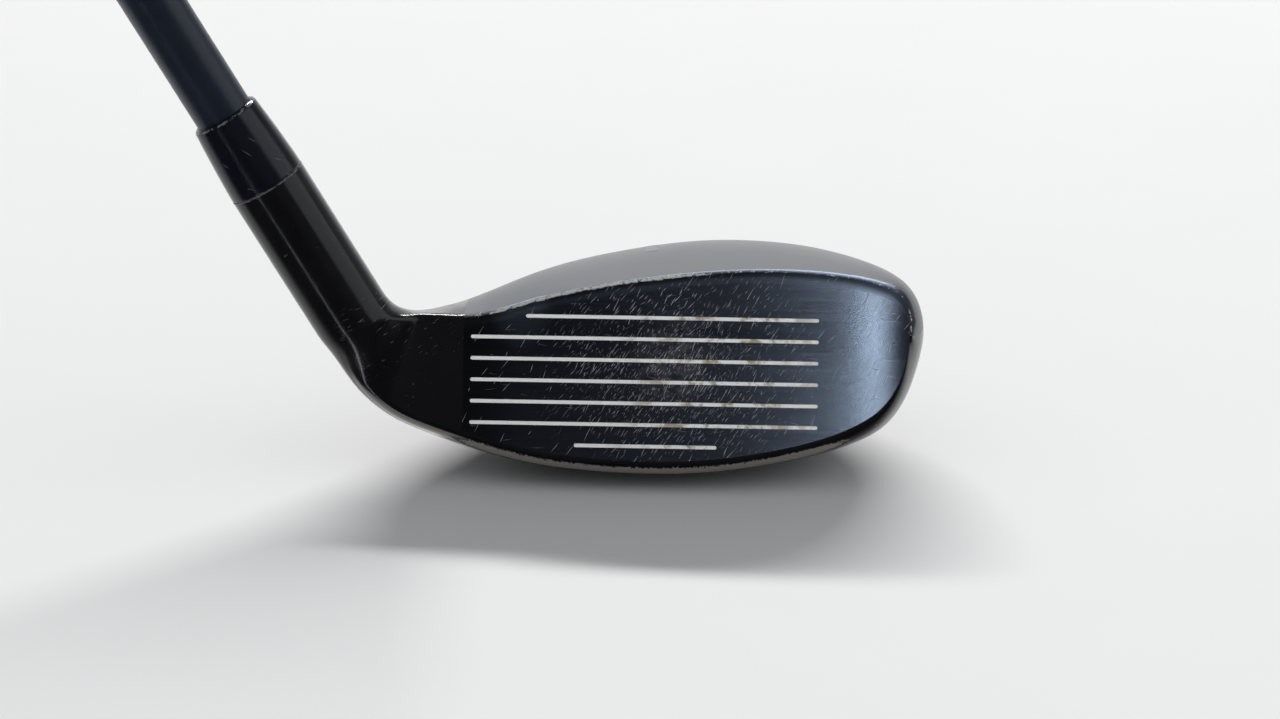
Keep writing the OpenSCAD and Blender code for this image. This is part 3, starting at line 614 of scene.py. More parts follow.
def soleCurve(u):
    lead, ridge, run = edgeAndRidge(u, "leadZ")
    way = np.array(((ridge[0] - lead[0]) / run, (ridge[1] - lead[1]) / run, -splineAt("soleSlope", u)))
    rise = np.array((0, 0, splineAt("soleRise", u) * (ridge[2] - lead[2])))
    return ridge, ridge - rise, lead + way * splineAt("soleReach", u) * run, lead


def headSection(u):
    crown, sole = crownCurve(u), soleCurve(u)
    top, lead = crown[0], sole[3]
    tall = max(np.linalg.norm(top - lead), 1e-9)
    up = (top - lead) / tall
    rTop, rLead = min(headShape["topEdge"], tall / 4), min(headShape["leadEdge"], tall / 4)
    a, b = lead + up * rLead, top - up * rTop
    tTop = rTop / max(3 * np.linalg.norm(crown[1] - crown[0]), rTop * 2)
    tLead = 1 - rLead / max(3 * np.linalg.norm(sole[3] - sole[2]), rLead * 2)
    c, d = bezierAt(crown, tTop), bezierAt(sole, tLead)
    nFace, nCorner = headShape["stepsFace"], headShape["stepsCorner"]
    nCrown, nSole = headShape["stepsCrown"], headShape["stepsSole"]
    return np.array(
        [a + (b - a) * k / nFace for k in range(nFace)]
        + [arcAt((b, top, c), k / nCorner) for k in range(nCorner)]
        + [bezierAt(crown, tTop + (1 - tTop) * k / nCrown) for k in range(nCrown)]
        + [bezierAt(sole, tLead * k / nSole) for k in range(nSole)]
        + [arcAt((d, lead, a), k / nCorner) for k in range(nCorner)])


def hoselAngles():
    spans = ((-132, 84, "stepsFace"), (-48, 20, "stepsCorner"), (-28, 118, "stepsCrown"),
             (90, 118, "stepsSole"), (208, 20, "stepsCorner"))
    return np.radians([start + sweep * k / headShape[steps] for start, sweep, steps in spans for k in range(headShape[steps])])


def smoothStep(t):
    return t * t * (3 - 2 * t)


def neckSection(turn, first, second, angles):
    lie, share, carry = headShape["lie"], headShape["bendShare"], headShape["carry"]
    w = smoothStep(min(1.0, turn / (share * lie)))
    run = second[:, 0] - first[:, 0]
    back = carry * (1 - np.exp(-(headShape["bendZ"] - first[:, 2]) * rad(turn) / carry))
    headZ = first[:, 2] - (second[:, 2] - first[:, 2]) / run * back
    headY = first[:, 1] - (second[:, 1] - first[:, 1]) / run * back
    r = headShape["hoselRadius"]
    roundQ = headShape["bendRadius"] + r - r * np.cos(angles)
    roundY = r * np.sin(angles) - headShape["shaftForward"]
    q = (1 - w) * (headShape["bendZ"] - headZ) + w * roundQ
    y = (1 - w) * headY + w * roundY
    return np.stack((headShape["neckX"] - q * math.sin(rad(turn)), y, headShape["bendZ"] - q * math.cos(rad(turn))), 1)


lieAngle = rad(headShape["lie"])
upShaft = np.array((-math.cos(lieAngle), 0, math.sin(lieAngle)))
reach = headShape["bendRadius"] + headShape["hoselRadius"]
hoselFoot = np.array((headShape["neckX"] - reach * math.sin(lieAngle), -headShape["shaftForward"],
                      headShape["bendZ"] - reach * math.cos(lieAngle)))


def headRows():
    first, second, angles = headSection(0), headSection(0.001), hoselAngles()
    foot = neckSection(headShape["lie"], first, second, angles)
    rows = [foot + upShaft * headShape["hoselLength"] * (1 - k / headShape["rowsHosel"]) for k in range(headShape["rowsHosel"])]
    rows += [neckSection(headShape["lie"] * (1 - k / headShape["rowsBend"]), first, second, angles)
             for k in range(headShape["rowsBend"])]
    for k in range(headShape["rowsHead"]):
        t = k / headShape["rowsHead"]
        rows.append(headSection(t * (1.35 - 0.35 * t)))
    return np.array(rows)


def eased(rows):
    # rounds the turn from the neck to the flat face
    a, b, c, d = headShape["easeRows"]
    spread = headShape["easeSpread"]
    reachOut = int(3 * spread)
    weights = np.exp(-0.5 * (np.arange(-reachOut, reachOut + 1) / spread) ** 2)
    weights /= weights.sum()
    blurred = rows.copy()
    for k in range(a, d + 1):
        share = min(1.0, (k - a) / (b - a), (d - k) / (d - c))
        middle = np.tensordot(weights, rows[k - reachOut:k + reachOut + 1], 1)
        blurred[k] += smoothStep(share) * (middle - rows[k])
    return blurred


say("head surface")
outerRows = eased(headRows())
toePoint = crownCurve(1)[0]
hollowAt, hollowScale = np.array(headShape["hollowAt"]), np.array(headShape["hollowScale"])


def drawnIn(points):
    return hollowAt + hollowScale * (points - hollowAt)


innerRows = drawnIn(outerRows)
toeInner = drawnIn(toePoint)
rowIn = int(np.argmax(outerRows[:, 0, 0] > headShape["hollowX"]))
loopSteps = outerRows.shape[1]
jCrown = headShape["stepsFace"] + headShape["stepsCorner"]
jBody = jCrown + headShape["stepsCrown"] * 12 // 14


def distancesFrom(rows, start):
    # signed distance round each section from one step of the loop
    steps = np.linalg.norm(np.roll(rows, -1, 1) - rows, axis=2)
    total = np.cumsum(steps, axis=1)
    place = np.concatenate((np.zeros((len(rows), 1)), total[:, :-1]), 1)
    whole = total[:, -1:]
    away = place - place[:, start:start + 1]
    return (away + whole / 2) % whole - whole / 2


topMiddle = headShape["stepsFace"] + headShape["stepsCorner"] // 2
leadMiddle = loopSteps - headShape["stepsCorner"] // 2
fromTopRows = distancesFrom(outerRows, topMiddle)
fromLeadRows = distancesFrom(outerRows, leadMiddle)


def meshObject(name, points, faces, material, uvs=None, angle=35):
    mesh = bpy.data.meshes.new(name)
    mesh.from_pydata([tuple(p) for p in np.asarray(points) * mm], [], faces)
    mesh.validate()
    if uvs:
        for label, values in uvs.items():
            layer = mesh.uv_layers.new(name=label)
            loops = np.empty(len(mesh.loops), dtype=np.int32)
            mesh.loops.foreach_get("vertex_index", loops)
            layer.data.foreach_set("uv", np.asarray(values, dtype=np.float32)[loops].ravel())
    mesh.polygons.foreach_set("use_smooth", [True] * len(mesh.polygons))
    mesh.set_sharp_from_angle(angle=rad(angle))
    mesh.materials.append(material)
    made = bpy.data.objects.new(name, mesh)
    bpy.context.scene.collection.objects.link(made)
    return made


def shellPiece(name, jStart, jEnd, iStart, material, whole=False):
    # a closed piece of the head: outer skin, inner skin and the walls between them
    points, faces, uvTop, uvLead = [], [], [], []
    index = {}

    def vertex(side, i, j):
        j %= loopSteps
        key = (side, i, j)
        if key not in index:
            index[key] = len(points)
            points.append((outerRows if side == 0 else innerRows)[i, j])
            uvTop.append((outerRows[i, j, 0], fromTopRows[i, j]))
            uvLead.append((outerRows[i, j, 0], fromLeadRows[i, j]))
        return index[key]

    def tip(side):
        key = (side, "tip")
        if key not in index:
            index[key] = len(points)
            points.append(toePoint if side == 0 else toeInner)
            uvTop.append((toePoint[0], 0.0))
            uvLead.append((toePoint[0], 5.0))
        return index[key]

    last = len(outerRows) - 1
    first = 0 if whole else iStart

    def covered(i, j):
        if whole and i < iStart:
            return True
        return jStart <= j < jEnd

    for i in range(first, last):
        for j in range(loopSteps):
            if covered(i, j):
                faces.append((vertex(0, i, j), vertex(0, i, j + 1), vertex(0, i + 1, j + 1), vertex(0, i + 1, j)))
    for i in range(iStart, last):
        for j in range(jStart, jEnd):
            faces.append((vertex(1, i, j), vertex(1, i + 1, j), vertex(1, i + 1, j + 1), vertex(1, i, j + 1)))
    for j in range(jStart, jEnd):
        faces.append((vertex(0, last, j), vertex(0, last, j + 1), tip(0)))
        faces.append((vertex(1, last, j), tip(1), vertex(1, last, j + 1)))
    for i in range(iStart, last):
        faces.append((vertex(0, i, jStart), vertex(0, i + 1, jStart), vertex(1, i + 1, jStart), vertex(1, i, jStart)))
        faces.append((vertex(0, i + 1, jEnd), vertex(0, i, jEnd), vertex(1, i, jEnd), vertex(1, i + 1, jEnd)))
    faces.append((vertex(0, last, jStart), tip(0), tip(1), vertex(1, last, jStart)))
    faces.append((tip(0), vertex(0, last, jEnd), vertex(1, last, jEnd), tip(1)))
    if whole:
        faces.append(tuple(vertex(0, 0, j) for j in reversed(range(loopSteps))))
        faces.append(tuple(vertex(1, iStart, j) for j in range(loopSteps)))
        for j in range(loopSteps):
            if not jStart <= j < jEnd:
                faces.append((vertex(0, iStart, j), vertex(0, iStart, j + 1), vertex(1, iStart, j + 1), vertex(1, iStart, j)))
    else:
        for j in range(jStart, jEnd):
            faces.append((vertex(0, iStart, j + 1), vertex(0, iStart, j), vertex(1, iStart, j), vertex(1, iStart, j + 1)))
    return meshObject(name, points, faces, material, {"fromTopEdge": uvTop, "fromLeadingEdge": uvLead}, 32)


def solidify(piece):
    # face normals of a closed mesh all turned outwards
    work = bmesh.new()
    work.from_mesh(piece.data)
    bmesh.ops.recalc_face_normals(work, faces=work.faces[:])
    work.to_mesh(piece.data)
    work.free()


def closeUp(piece, angle):
    # a closed mesh with its faces turned outwards, and its sharp edges marked
    solidify(piece)
    piece.data.set_sharp_from_angle(angle=rad(angle))


def cutAway(piece, cutter):
    cut = piece.modifiers.new("cut", "BOOLEAN")
    cut.operation = "DIFFERENCE"
    cut.solver = "EXACT"
    cut.object = cutter
    depsgraph = bpy.context.evaluated_depsgraph_get()
    made = bpy.data.meshes.new_from_object(piece.evaluated_get(depsgraph))
    piece.modifiers.clear()
    old = piece.data
    piece.data = made
    made.name = old.name
    bpy.data.meshes.remove(old)
    bpy.data.objects.remove(cutter)


def shaftFrame(s):
    # +Z up the shaft, origin at a distance up the shaft line
    turn = Matrix.Rotation(lieAngle - math.pi / 2, 4, "Y")
    return Matrix.Translation(Vector(hoselFoot + upShaft * s)) @ turn


def lathe(name, profile, frame, material, steps=96, closed=True, angle=30, radiusAt=None):
    # profile: rows of radius and height, turned about Z of the frame
    points, faces = [], []
    count = len(profile)
    for k in range(steps):
        turn = 2 * math.pi * k / steps
        for i, (r, h) in enumerate(profile):
            if radiusAt:
                r = radiusAt(i, r, h, turn)
            points.append(frame @ Vector((r * math.cos(turn), r * math.sin(turn), h)))
    last = count if closed else count - 1
    for k in range(steps):
        for i in range(last):
            a, b = k * count + i, k * count + (i + 1) % count
            c, d = ((k + 1) % steps) * count + (i + 1) % count, ((k + 1) % steps) * count + i
            faces.append((a, d, c, b))
    made = meshObject(name, [tuple(p) for p in points], faces, material, None, angle)
    work = bmesh.new()
    work.from_mesh(made.data)
    bmesh.ops.remove_doubles(work, verts=work.verts[:], dist=1e-7)
    bmesh.ops.recalc_face_normals(work, faces=work.faces[:])
    work.to_mesh(made.data)
    work.free()
    made.data.set_sharp_from_angle(angle=rad(angle))
    return made


def onCurve(u, v, sole):
    return bezierAt(soleCurve(u) if sole else crownCurve(u), v)


def normalAt(u, v, sole):
    du = onCurve(u + 0.004, v, sole) - onCurve(u - 0.004, v, sole)
    dv = onCurve(u, v + 0.004, sole) - onCurve(u, v - 0.004, sole)
    n = np.cross(du, dv)
    return n / np.linalg.norm(n)


def sheetPiece(name, spanU, spanV, low, high, nu, nv, sole, material, grow=0.0, ease=0.0):
    # a thin sheet over the crown or sole between two depths; ease rounds its upper rim over that distance
    points, faces = [], []
    wide = nv + 1
    growU, growV = grow * (spanU[1] - spanU[0]), grow * (spanV[1] - spanV[0])
    for level in (high, low):
        for i in range(nu + 1):
            for j in range(nv + 1):
                u = spanU[0] - growU + (spanU[1] - spanU[0] + 2 * growU) * i / nu
                v = spanV[0] - growV + (spanV[1] - spanV[0] + 2 * growV) * j / nv
                rim = min(i, nu - i, j, nv - j)
                drop = ease if (level == high and rim == 0) else 0
                points.append(onCurve(u, v, sole) + (level - drop) * normalAt(u, v, sole))
    half = (nu + 1) * wide
    for i in range(nu):
        for j in range(nv):
            a = i * wide + j
            faces.append((a, a + 1, a + wide + 1, a + wide))
            faces.append((half + a, half + a + wide, half + a + wide + 1, half + a + 1))
    for i in range(nu):
        a, b = i * wide, (i + 1) * wide
        faces.append((a, b, half + b, half + a))
        faces.append((b + nv, a + nv, half + a + nv, half + b + nv))
    for j in range(nv):
        a = nu * wide
        faces.append((j + 1, j, half + j, half + j + 1))
        faces.append((a + j, a + j + 1, half + a + j + 1, half + a + j))
    made = meshObject(name, points, faces, material, None, 30)
    closeUp(made, 30)
    return made


def stadiumPiece(name, lines, low, high, halfWidth, material, steps=70):
    # rounded bars that follow the bulge of the face, from low to high depth below it
    points, faces = [], []
    axis = headShape["bulgeRadius"] / math.cos(rad(headShape["loft"]))
    turn = np.array(Matrix.Rotation(-rad(headShape["loft"]), 3, "X"))
    forward = headShape["faceForward"]
    shift = np.array((0, -forward * math.cos(rad(headShape["loft"])), -forward * math.sin(rad(headShape["loft"]))))
    for height, xStart, xEnd in lines:
        ring = []
        for k in range(steps + 1):
            ring.append((xStart + (xEnd - xStart) * k / steps, -halfWidth))
        for k in range(1, 12):
            a = -math.pi / 2 + math.pi * k / 12
            ring.append((xEnd + halfWidth * math.cos(a), halfWidth * math.sin(a)))
        for k in range(steps + 1):
            ring.append((xEnd + (xStart - xEnd) * k / steps, halfWidth))
        for k in range(1, 12):
            a = math.pi / 2 + math.pi * k / 12
            ring.append((xStart + halfWidth * math.cos(a), halfWidth * math.sin(a)))
        base = len(points)
        for depth in (low, high):
            for x, z in ring:
                bend = x / axis
                local = np.array(((axis - depth) * math.sin(bend), axis - (axis - depth) * math.cos(bend), z + height))
                points.append(turn @ (local + shift))
        count = len(ring)
        faces += [(base + k, base + (k + 1) % count, base + count + (k + 1) % count, base + count + k) for k in range(count)]
        # caps as strips of quads across the bar, and fans over its round ends
        for level in (0, count):
            n = steps + 11
            for k in range(steps):
                a, b = base + level + k, base + level + k + 1
                c, d = base + level + n + steps - k - 1, base + level + n + steps - k
                faces.append((a, b, c, d))
            faces.append(tuple(base + level + k for k in range(steps, n + 1)))
            faces.append(tuple(base + level + (k % count) for k in range(n + steps, count + 1)))
    made = meshObject(name, points, faces, material, None, 30)
    closeUp(made, 30)
    return made


def faceNormals(piece):
    # true surface normals on the flat of the face, so that the cut grooves leave no ripples in it
    mesh = piece.data
    loft = rad(headShape["loft"])
    flat = np.array((0, -math.cos(loft), math.sin(loft)))
    coords = np.empty(len(mesh.vertices) * 3)
    mesh.vertices.foreach_get("co", coords)
    coords = coords.reshape(-1, 3) / mm
    normals = [Vector(n.vector) for n in mesh.corner_normals]
    for polygon in mesh.polygons:
        n = np.array(polygon.normal)
        if n @ flat < 0.975:
            continue
        x, y, z = np.array(polygon.center) / mm
        if abs(y - faceY(x, z)) > 0.1:
            continue
        for loop in polygon.loop_indices:
            px, py, pz = coords[mesh.loops[loop].vertex_index]
            if abs(py - faceY(px, pz)) > 0.02:
                continue
            slope = px / headShape["bulgeRadius"] + 3 * headShape["toeRound"] * max(0.0, px - headShape["toeFrom"]) ** 2
            normals[loop] = Vector((slope, -1, math.tan(loft))).normalized()
    mesh.normals_split_custom_set(normals)


say("materials")
faceSteel = makeFaceSteel()
blackPlating = makeBlackPlating()
crownPaint = makeCrownPaint()
lineWhite = makeLineWhite()
# name: shader settings, darker and lighter tone, grain size, grain depth, then scratches, their colour, and worn rims
plainFinishes = {
    "markGrey": ({"Roughness": 0.45}, (0.11, 0.125, 0.14), (0.15, 0.165, 0.18), 2.0, 0.02, 0.3, (0.05, 0.06, 0.07)),
    "badgeSatin": ({"Roughness": 0.38, "Metallic": 0.9}, (0.14, 0.145, 0.15), (0.20, 0.205, 0.21), 4.0, 0.02,
                   0.35, (0.6, 0.6, 0.6)),
    "clearAdhesive": ({"Roughness": 0.4}, (0.55, 0.50, 0.34), (0.66, 0.61, 0.44), 2.0, 0.05),
    "weightSteel": ({"Roughness": 0.34, "Metallic": 0.9}, (0.22, 0.215, 0.205), (0.30, 0.29, 0.28), 2.5, 0.015,
                    0.3, (0.7, 0.7, 0.68)),
    "sealRubber": ({"Roughness": 0.62}, (0.012, 0.012, 0.012), (0.022, 0.022, 0.022), 1.0, 0.03),
    "ferruleGloss": ({"Roughness": 0.14, "Specular IOR Level": 0.42}, (0.004, 0.005, 0.010), (0.007, 0.009, 0.016), 3.0, 0.012,
                     0.07, (0.26, 0.28, 0.32), (25.35, 38.0)),
    "shaftLacquer": ({"Roughness": 0.34, "Specular IOR Level": 0.5}, (0.008, 0.014, 0.030), (0.012, 0.020, 0.040), 6.0, 0.01),
    "plugCork": ({"Roughness": 0.8}, (0.34, 0.22, 0.12), (0.50, 0.35, 0.2), 2.0, 0.15),
    "gripTapePaper": ({"Roughness": 0.8}, (0.62, 0.58, 0.47), (0.72, 0.69, 0.58), 3.0, 0.05),
    "gripRubber": ({"Roughness": 0.66}, (0.014, 0.014, 0.015), (0.026, 0.026, 0.028), 5.0, 0.05),
    "hotMelt": ({"Roughness": 0.45}, (0.55, 0.52, 0.42), (0.66, 0.62, 0.5), 3.0, 0.08),
}
plain = {name: makePlainFinish(name, *values) for name, values in plainFinishes.items()}

say("head pieces")
portShape = {"at": (2, 36.4, 9.8), "tilt": 47, "headD": 10, "headH": 2.8, "screwD": 5, "screwLength": 6, "gap": 0.08,
             "seatGap": 0.3, "seatDepth": 4.2, "key": 4, "pitch": 1.0, "bossWall": 1.3}
markShape = {"u": (0.358, 0.378), "v": (0.30, 0.52), "depth": 0.3}
badgeShape = {"u": (0.30, 0.56), "v": (0.37, 0.57), "depth": 0.9, "glue": 0.1}
lineShape = {"top": 28.94, "pitch": 3.47, "width": 0.6, "depth": 0.42, "paintGap": 0.06,
             "topSpan": (-19.4, 27.5), "fullSpan": (-28.3, 27.5), "lowSpan": (-11.3, 11.2)}


def groundCutter():
    # everything below the ground, which leaves the small flat that the head rests on
    corners = [(x, y, z) for z in (-10, 0) for y in (-40, 60) for x in (-60, 60)]
    sides = [(0, 1, 3, 2), (4, 5, 7, 6), (0, 1, 5, 4), (2, 3, 7, 6), (0, 2, 6, 4), (1, 3, 7, 5)]
    made = meshObject("groundCutter", corners, sides, blackPlating)
    solidify(made)
    return made


portFrame = Matrix.Translation(Vector(portShape["at"])) @ Matrix.Rotation(rad(-90 - portShape["tilt"]), 4, "X")
bodyPiece = shellPiece("headShell", jBody, loopSteps, rowIn, blackPlating, whole=True)
facePiece = shellPiece("facePlate", 0, jCrown, rowIn, faceSteel)
crownPiece = shellPiece("crownPlate", jCrown, jBody, rowIn, crownPaint)
for piece in (bodyPiece, facePiece, crownPiece):
    solidify(piece)

spans = [lineShape["topSpan"]] + [lineShape["fullSpan"]] * 5 + [lineShape["lowSpan"]]
lines = [(lineShape["top"] - k * lineShape["pitch"], *span) for k, span in enumerate(spans)]
cutAway(facePiece, stadiumPiece("grooveCutter", lines, -0.5, lineShape["depth"], lineShape["width"] / 2, faceSteel))
facePiece.data.set_sharp_from_angle(angle=rad(32))
faceNormals(facePiece)
linePiece = stadiumPiece("scoringLines", lines, lineShape["paintGap"], lineShape["depth"] + 0.02,
                         lineShape["width"] / 2 + 0.004, lineWhite)
bar, badge = (markShape["u"], markShape["v"], -markShape["depth"]), (badgeShape["u"], badgeShape["v"])
cutAway(crownPiece, sheetPiece("markCutter", *bar, 0.5, 4, 16, False, crownPaint, 0.02))
markPiece = sheetPiece("alignmentBar", *bar, 0.03, 6, 40, False, plain["markGrey"], 0.0, 0.02)
cutAway(bodyPiece, sheetPiece("badgeCutter", *badge, -1.0, 0.6, 40, 24, True, blackPlating, 0.004))
seatR, deep = portShape["headD"] / 2 + portShape["seatGap"], portShape["seatDepth"]
cutAway(bodyPiece, lathe("portCutter", [(0, -deep), (seatR, -deep), (seatR, 3), (0, 3)], portFrame, blackPlating))
cutAway(bodyPiece, groundCutter())
bodyPiece.data.set_sharp_from_angle(angle=rad(32))
crownPiece.data.set_sharp_from_angle(angle=rad(32))
badgePiece = sheetPiece("soleBadge", *badge, -badgeShape["depth"], -0.08, 60, 40, True, plain["badgeSatin"], 0.0, 0.12)

shankR = portShape["screwD"] / 2
socketOut = seatR + 0.9
socketPiece = lathe("portSocket", [
    (seatR, -0.35), (seatR, -deep), (shankR + 0.08, -deep), (shankR + 0.08, -deep - 6.6), (shankR + 1.7, -deep - 6.6),
    (shankR + 1.7, -deep - 1.2), (socketOut, -deep - 1.2), (socketOut, -1.0)], portFrame, blackPlating, 96)


def screwMesh():
    # domed head with a hex socket, and a shank with a real helical thread
    steps, turns = 72, 6
    low = -portShape["seatDepth"] - portShape["screwLength"]
    top = -portShape["headH"]
    headR = portShape["headD"] / 2
    points, faces, rows = [], [], []

    def ring(values):
        start = len(points)
        for k in range(steps):
            radius, height = values(2 * math.pi * k / steps)
            angle = 2 * math.pi * k / steps
            points.append(portFrame @ Vector((radius * math.cos(angle), radius * math.sin(angle), height)))
        rows.append(start)

    def hexRadius(angle, flat):
        return flat / math.cos((angle + math.pi / 6) % (math.pi / 3) - math.pi / 6)

    key = portShape["key"] / 2
    ring(lambda a: (0.02, -2.35))
    for flat, height in ((key * 0.97, -2.2), (key, -2.0), (key, -0.25), (key + 0.22, 0)):
        ring(lambda a: (hexRadius(a, flat), height))
    for radius, height in ((headR - 0.9, 0), (headR - 0.4, 0), (headR - 0.12, -0.16), (headR, -0.4), (headR, top + 0.2),
                           (headR - 0.2, top), (shankR, top)):
        ring(lambda a: (radius, height))
    span = top - 0.3 - low
    count = int(span / portShape["pitch"] * 12)
    for i in range(count + 1):
        height = top - 0.3 - span * i / count
        ends = min(1.0, i / 10, (count - i) / 8)

        def threaded(a):
            wave = abs(((height / portShape["pitch"] - a / (2 * math.pi)) % 1.0) * 2 - 1)
            return shankR - 0.42 * ends * wave, height

        ring(threaded)
    ring(lambda a: (shankR - 0.7, low))
    ring(lambda a: (0.02, low))
    for upper, lower in zip(rows, rows[1:]):
        for k in range(steps):
            n = (k + 1) % steps
            faces.append((upper + k, upper + n, lower + n, lower + k))
    faces.append(tuple(rows[0] + k for k in range(steps)))
    faces.append(tuple(rows[-1] + k for k in reversed(range(steps))))
    made = meshObject("weightScrew", points, faces, plain["weightSteel"], None, 28)
    closeUp(made, 28)
    return made


screwPiece = screwMesh()

say("shaft and grip")
shaftShape = {"tipD": 9.4, "buttD": 15.2, "tipLength": 100, "buttLength": 280, "tipWall": 1.5, "buttWall": 0.9,
              "tipS": -2.2, "endS": 966.338, "ferruleLength": 13, "ferruleTopD": 11.1, "ferruleRound": 0.7, "ferruleBase": 25.3}
gripShape = {"length": 267, "mouthD": 17.2, "buttD": 26.4, "tape": 0.25, "capEnd": 5, "capH": 9, "ventD": 3, "groove": 0.5,
             "buttS": 971.338, "textureDeep": 0.22, "textureAround": 34, "textureStep": 1.9}

tipEnd = shaftShape["tipS"] + shaftShape["tipLength"]
buttStart = shaftShape["endS"] - shaftShape["buttLength"]
tipR, buttR = shaftShape["tipD"] / 2, shaftShape["buttD"] / 2


def shaftRadius(s):
    if s < tipEnd:
        return tipR
    return min(buttR, tipR + (buttR - tipR) * (s - tipEnd) / (buttStart - tipEnd))


shaftStops = [shaftShape["tipS"] + 0.2 + (tipEnd - shaftShape["tipS"] - 0.2) * k / 20 for k in range(21)]
shaftStops += [tipEnd + (buttStart - tipEnd) * k / 60 for k in range(1, 61)] + [buttStart + 40 * k for k in range(1, 7)]
start, end = shaftShape["tipS"], shaftShape["endS"]
boreTip, boreButt = tipR - shaftShape["tipWall"], buttR - shaftShape["buttWall"]
shaftProfile = [(tipR - 0.2, start), *((shaftRadius(s), s) for s in shaftStops), (buttR, end), (boreButt, end),
                (boreButt, buttStart), (boreTip, tipEnd), (boreTip, start)]
shaftPiece = lathe("shaftTube", shaftProfile, shaftFrame(0), plain["shaftLacquer"], 128)

hoselR = headShape["hoselRadius"]
topR, height, edge = shaftShape["ferruleTopD"] / 2, shaftShape["ferruleLength"], shaftShape["ferruleRound"]


def ferruleSide(t):
    return hoselR + (topR - hoselR) * t * (0.55 + 0.45 * t)


ferruleProfile = [(tipR, 0.05), (hoselR - 0.25, 0.05), (hoselR - 0.08, 0.12), (hoselR - 0.02, 0.3)]
ferruleProfile += [(ferruleSide(k / 28), (height - edge) * k / 28) for k in range(1, 29)]
ferruleProfile += [(topR - edge + edge * math.cos(rad(a)), height - edge + edge * math.sin(rad(a))) for a in range(10, 91, 10)]
ferruleProfile += [(tipR + 0.05, height)]
ferrulePiece = lathe("ferruleRing", ferruleProfile, shaftFrame(shaftShape["ferruleBase"]), plain["ferruleGloss"], 128)

gripStart = gripShape["buttS"] - gripShape["length"]
gripStraight = gripShape["length"] - gripShape["capH"]
bands = [26 + 19 * k for k in range(11)]


def gripRadius(h):
    return gripShape["mouthD"] / 2 + (gripShape["buttD"] - gripShape["mouthD"]) / 2 * (max(h, 0) / gripStraight) ** 1.35


def gripTexture(i, r, h, turn):
    # small sunk lozenges between the ring grooves, fading out near each groove and at both ends
    if i < 3 or i > gripRows + 2:
        return r
    nearest = min(abs(h - band) for band in bands)
    fade = max(0.0, min(1.0, (nearest - 2.2) / 0.8)) * max(0.0, min(1.0, (h - 14) / 3, (gripStraight - 6 - h) / 3))
    wave = math.cos(gripShape["textureAround"] * turn) * math.cos(2 * math.pi * h / (gripShape["textureStep"] * 2))
    return r - gripShape["textureDeep"] * fade * max(0.0, abs(wave) - 0.25) / 0.75


gripHeights = sorted(set([round(0.6 + (gripStraight - 0.6) * k / 520, 4) for k in range(521)]
                         + [band + q for band in bands for q in (-0.9, -0.4, 0.4, 0.9)]))


def bandDrop(h):
    for band in bands:
        away = abs(h - band)
        if away < 0.9:
            return gripShape["groove"] * min(1.0, (0.9 - away) / 0.5)
    return 0.0


gripRows = len(gripHeights)
gripProfile = [(buttR, 0), (gripShape["mouthD"] / 2 - 0.5, 0), (gripShape["mouthD"] / 2 - 0.15, 0.15)]
gripProfile += [(gripRadius(h) - bandDrop(h), h) for h in gripHeights]
gripProfile += [(buttR + 0.26, gripStraight), (buttR + 0.26, 6), (buttR + 0.01, 6)]
gripPiece = lathe("gripSleeve", gripProfile, shaftFrame(gripStart), plain["gripRubber"], 272, True, 40, gripTexture)

capR, capH, ventR = gripShape["buttD"] / 2, gripShape["capH"], gripShape["ventD"] / 2
capProfile = [(buttR + 0.26, 0.02), (capR, 0.02), (capR + 0.7, 1), (capR + 0.7, capH - 4)]
capProfile += [(capR + 0.7 - 4 + 4 * math.cos(rad(a)), capH - 4 + 4 * math.sin(rad(a))) for a in range(8, 89, 8)]
capProfile += [(capR - 4.2, capH), (capR - 4.6, capH - 0.25), (capR - 5.4, capH - 0.25), (capR - 5.8, capH),
               (ventR + 0.3, capH), (ventR, capH - 0.3), (ventR, capH - gripShape["capEnd"]),
               (buttR + 0.26, capH - gripShape["capEnd"])]
capPiece = lathe("gripCap", capProfile, shaftFrame(gripStart + gripStraight), plain["gripRubber"], 160, True, 35)

say("ownership")
pieces = {
    "headShell": (bodyPiece, "head_body", "body_steel"), "facePlate": (facePiece, "face_plate", "face_steel"),
    "crownPlate": (crownPiece, "crown_plate", "crown_steel"), "scoringLines": (linePiece, "score_line_paint", "white_paint"),
    "alignmentBar": (markPiece, "alignment_mark", "grey_paint"), "soleBadge": (badgePiece, "sole_badge", "badge_aluminium"),
    "portSocket": (socketPiece, None, "body_steel"), "weightScrew": (screwPiece, "weight_screw", "tungsten"),
    "shaftTube": (shaftPiece, "shaft", "shaft_composite"), "ferruleRing": (ferrulePiece, "ferrule", "ferrule_plastic"),
    "gripSleeve": (gripPiece, "grip_sleeve", "grip_rubber"), "gripCap": (capPiece, "grip_cap", "grip_rubber"),
}
for name, (piece, node, slot) in pieces.items():
    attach(piece, "screw" if name == "weightScrew" else "club")
    if node:
        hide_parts(node)

carried = {"badge_adhesive": "clearAdhesive", "weight_seal": "sealRubber", "hot_melt": "hotMelt", "hosel_stop": "hotMelt",
           "hosel_epoxy": "clearAdhesive", "tip_plug": "plugCork", "grip_tape": "gripTapePaper"}
for part in bpy.data.objects:
    finish = carried.get(part.name.split(".")[0])
    if finish and part.type == "MESH":
        part.data.materials.clear()
        part.data.materials.append(plain[finish])

say("floor, light and camera")
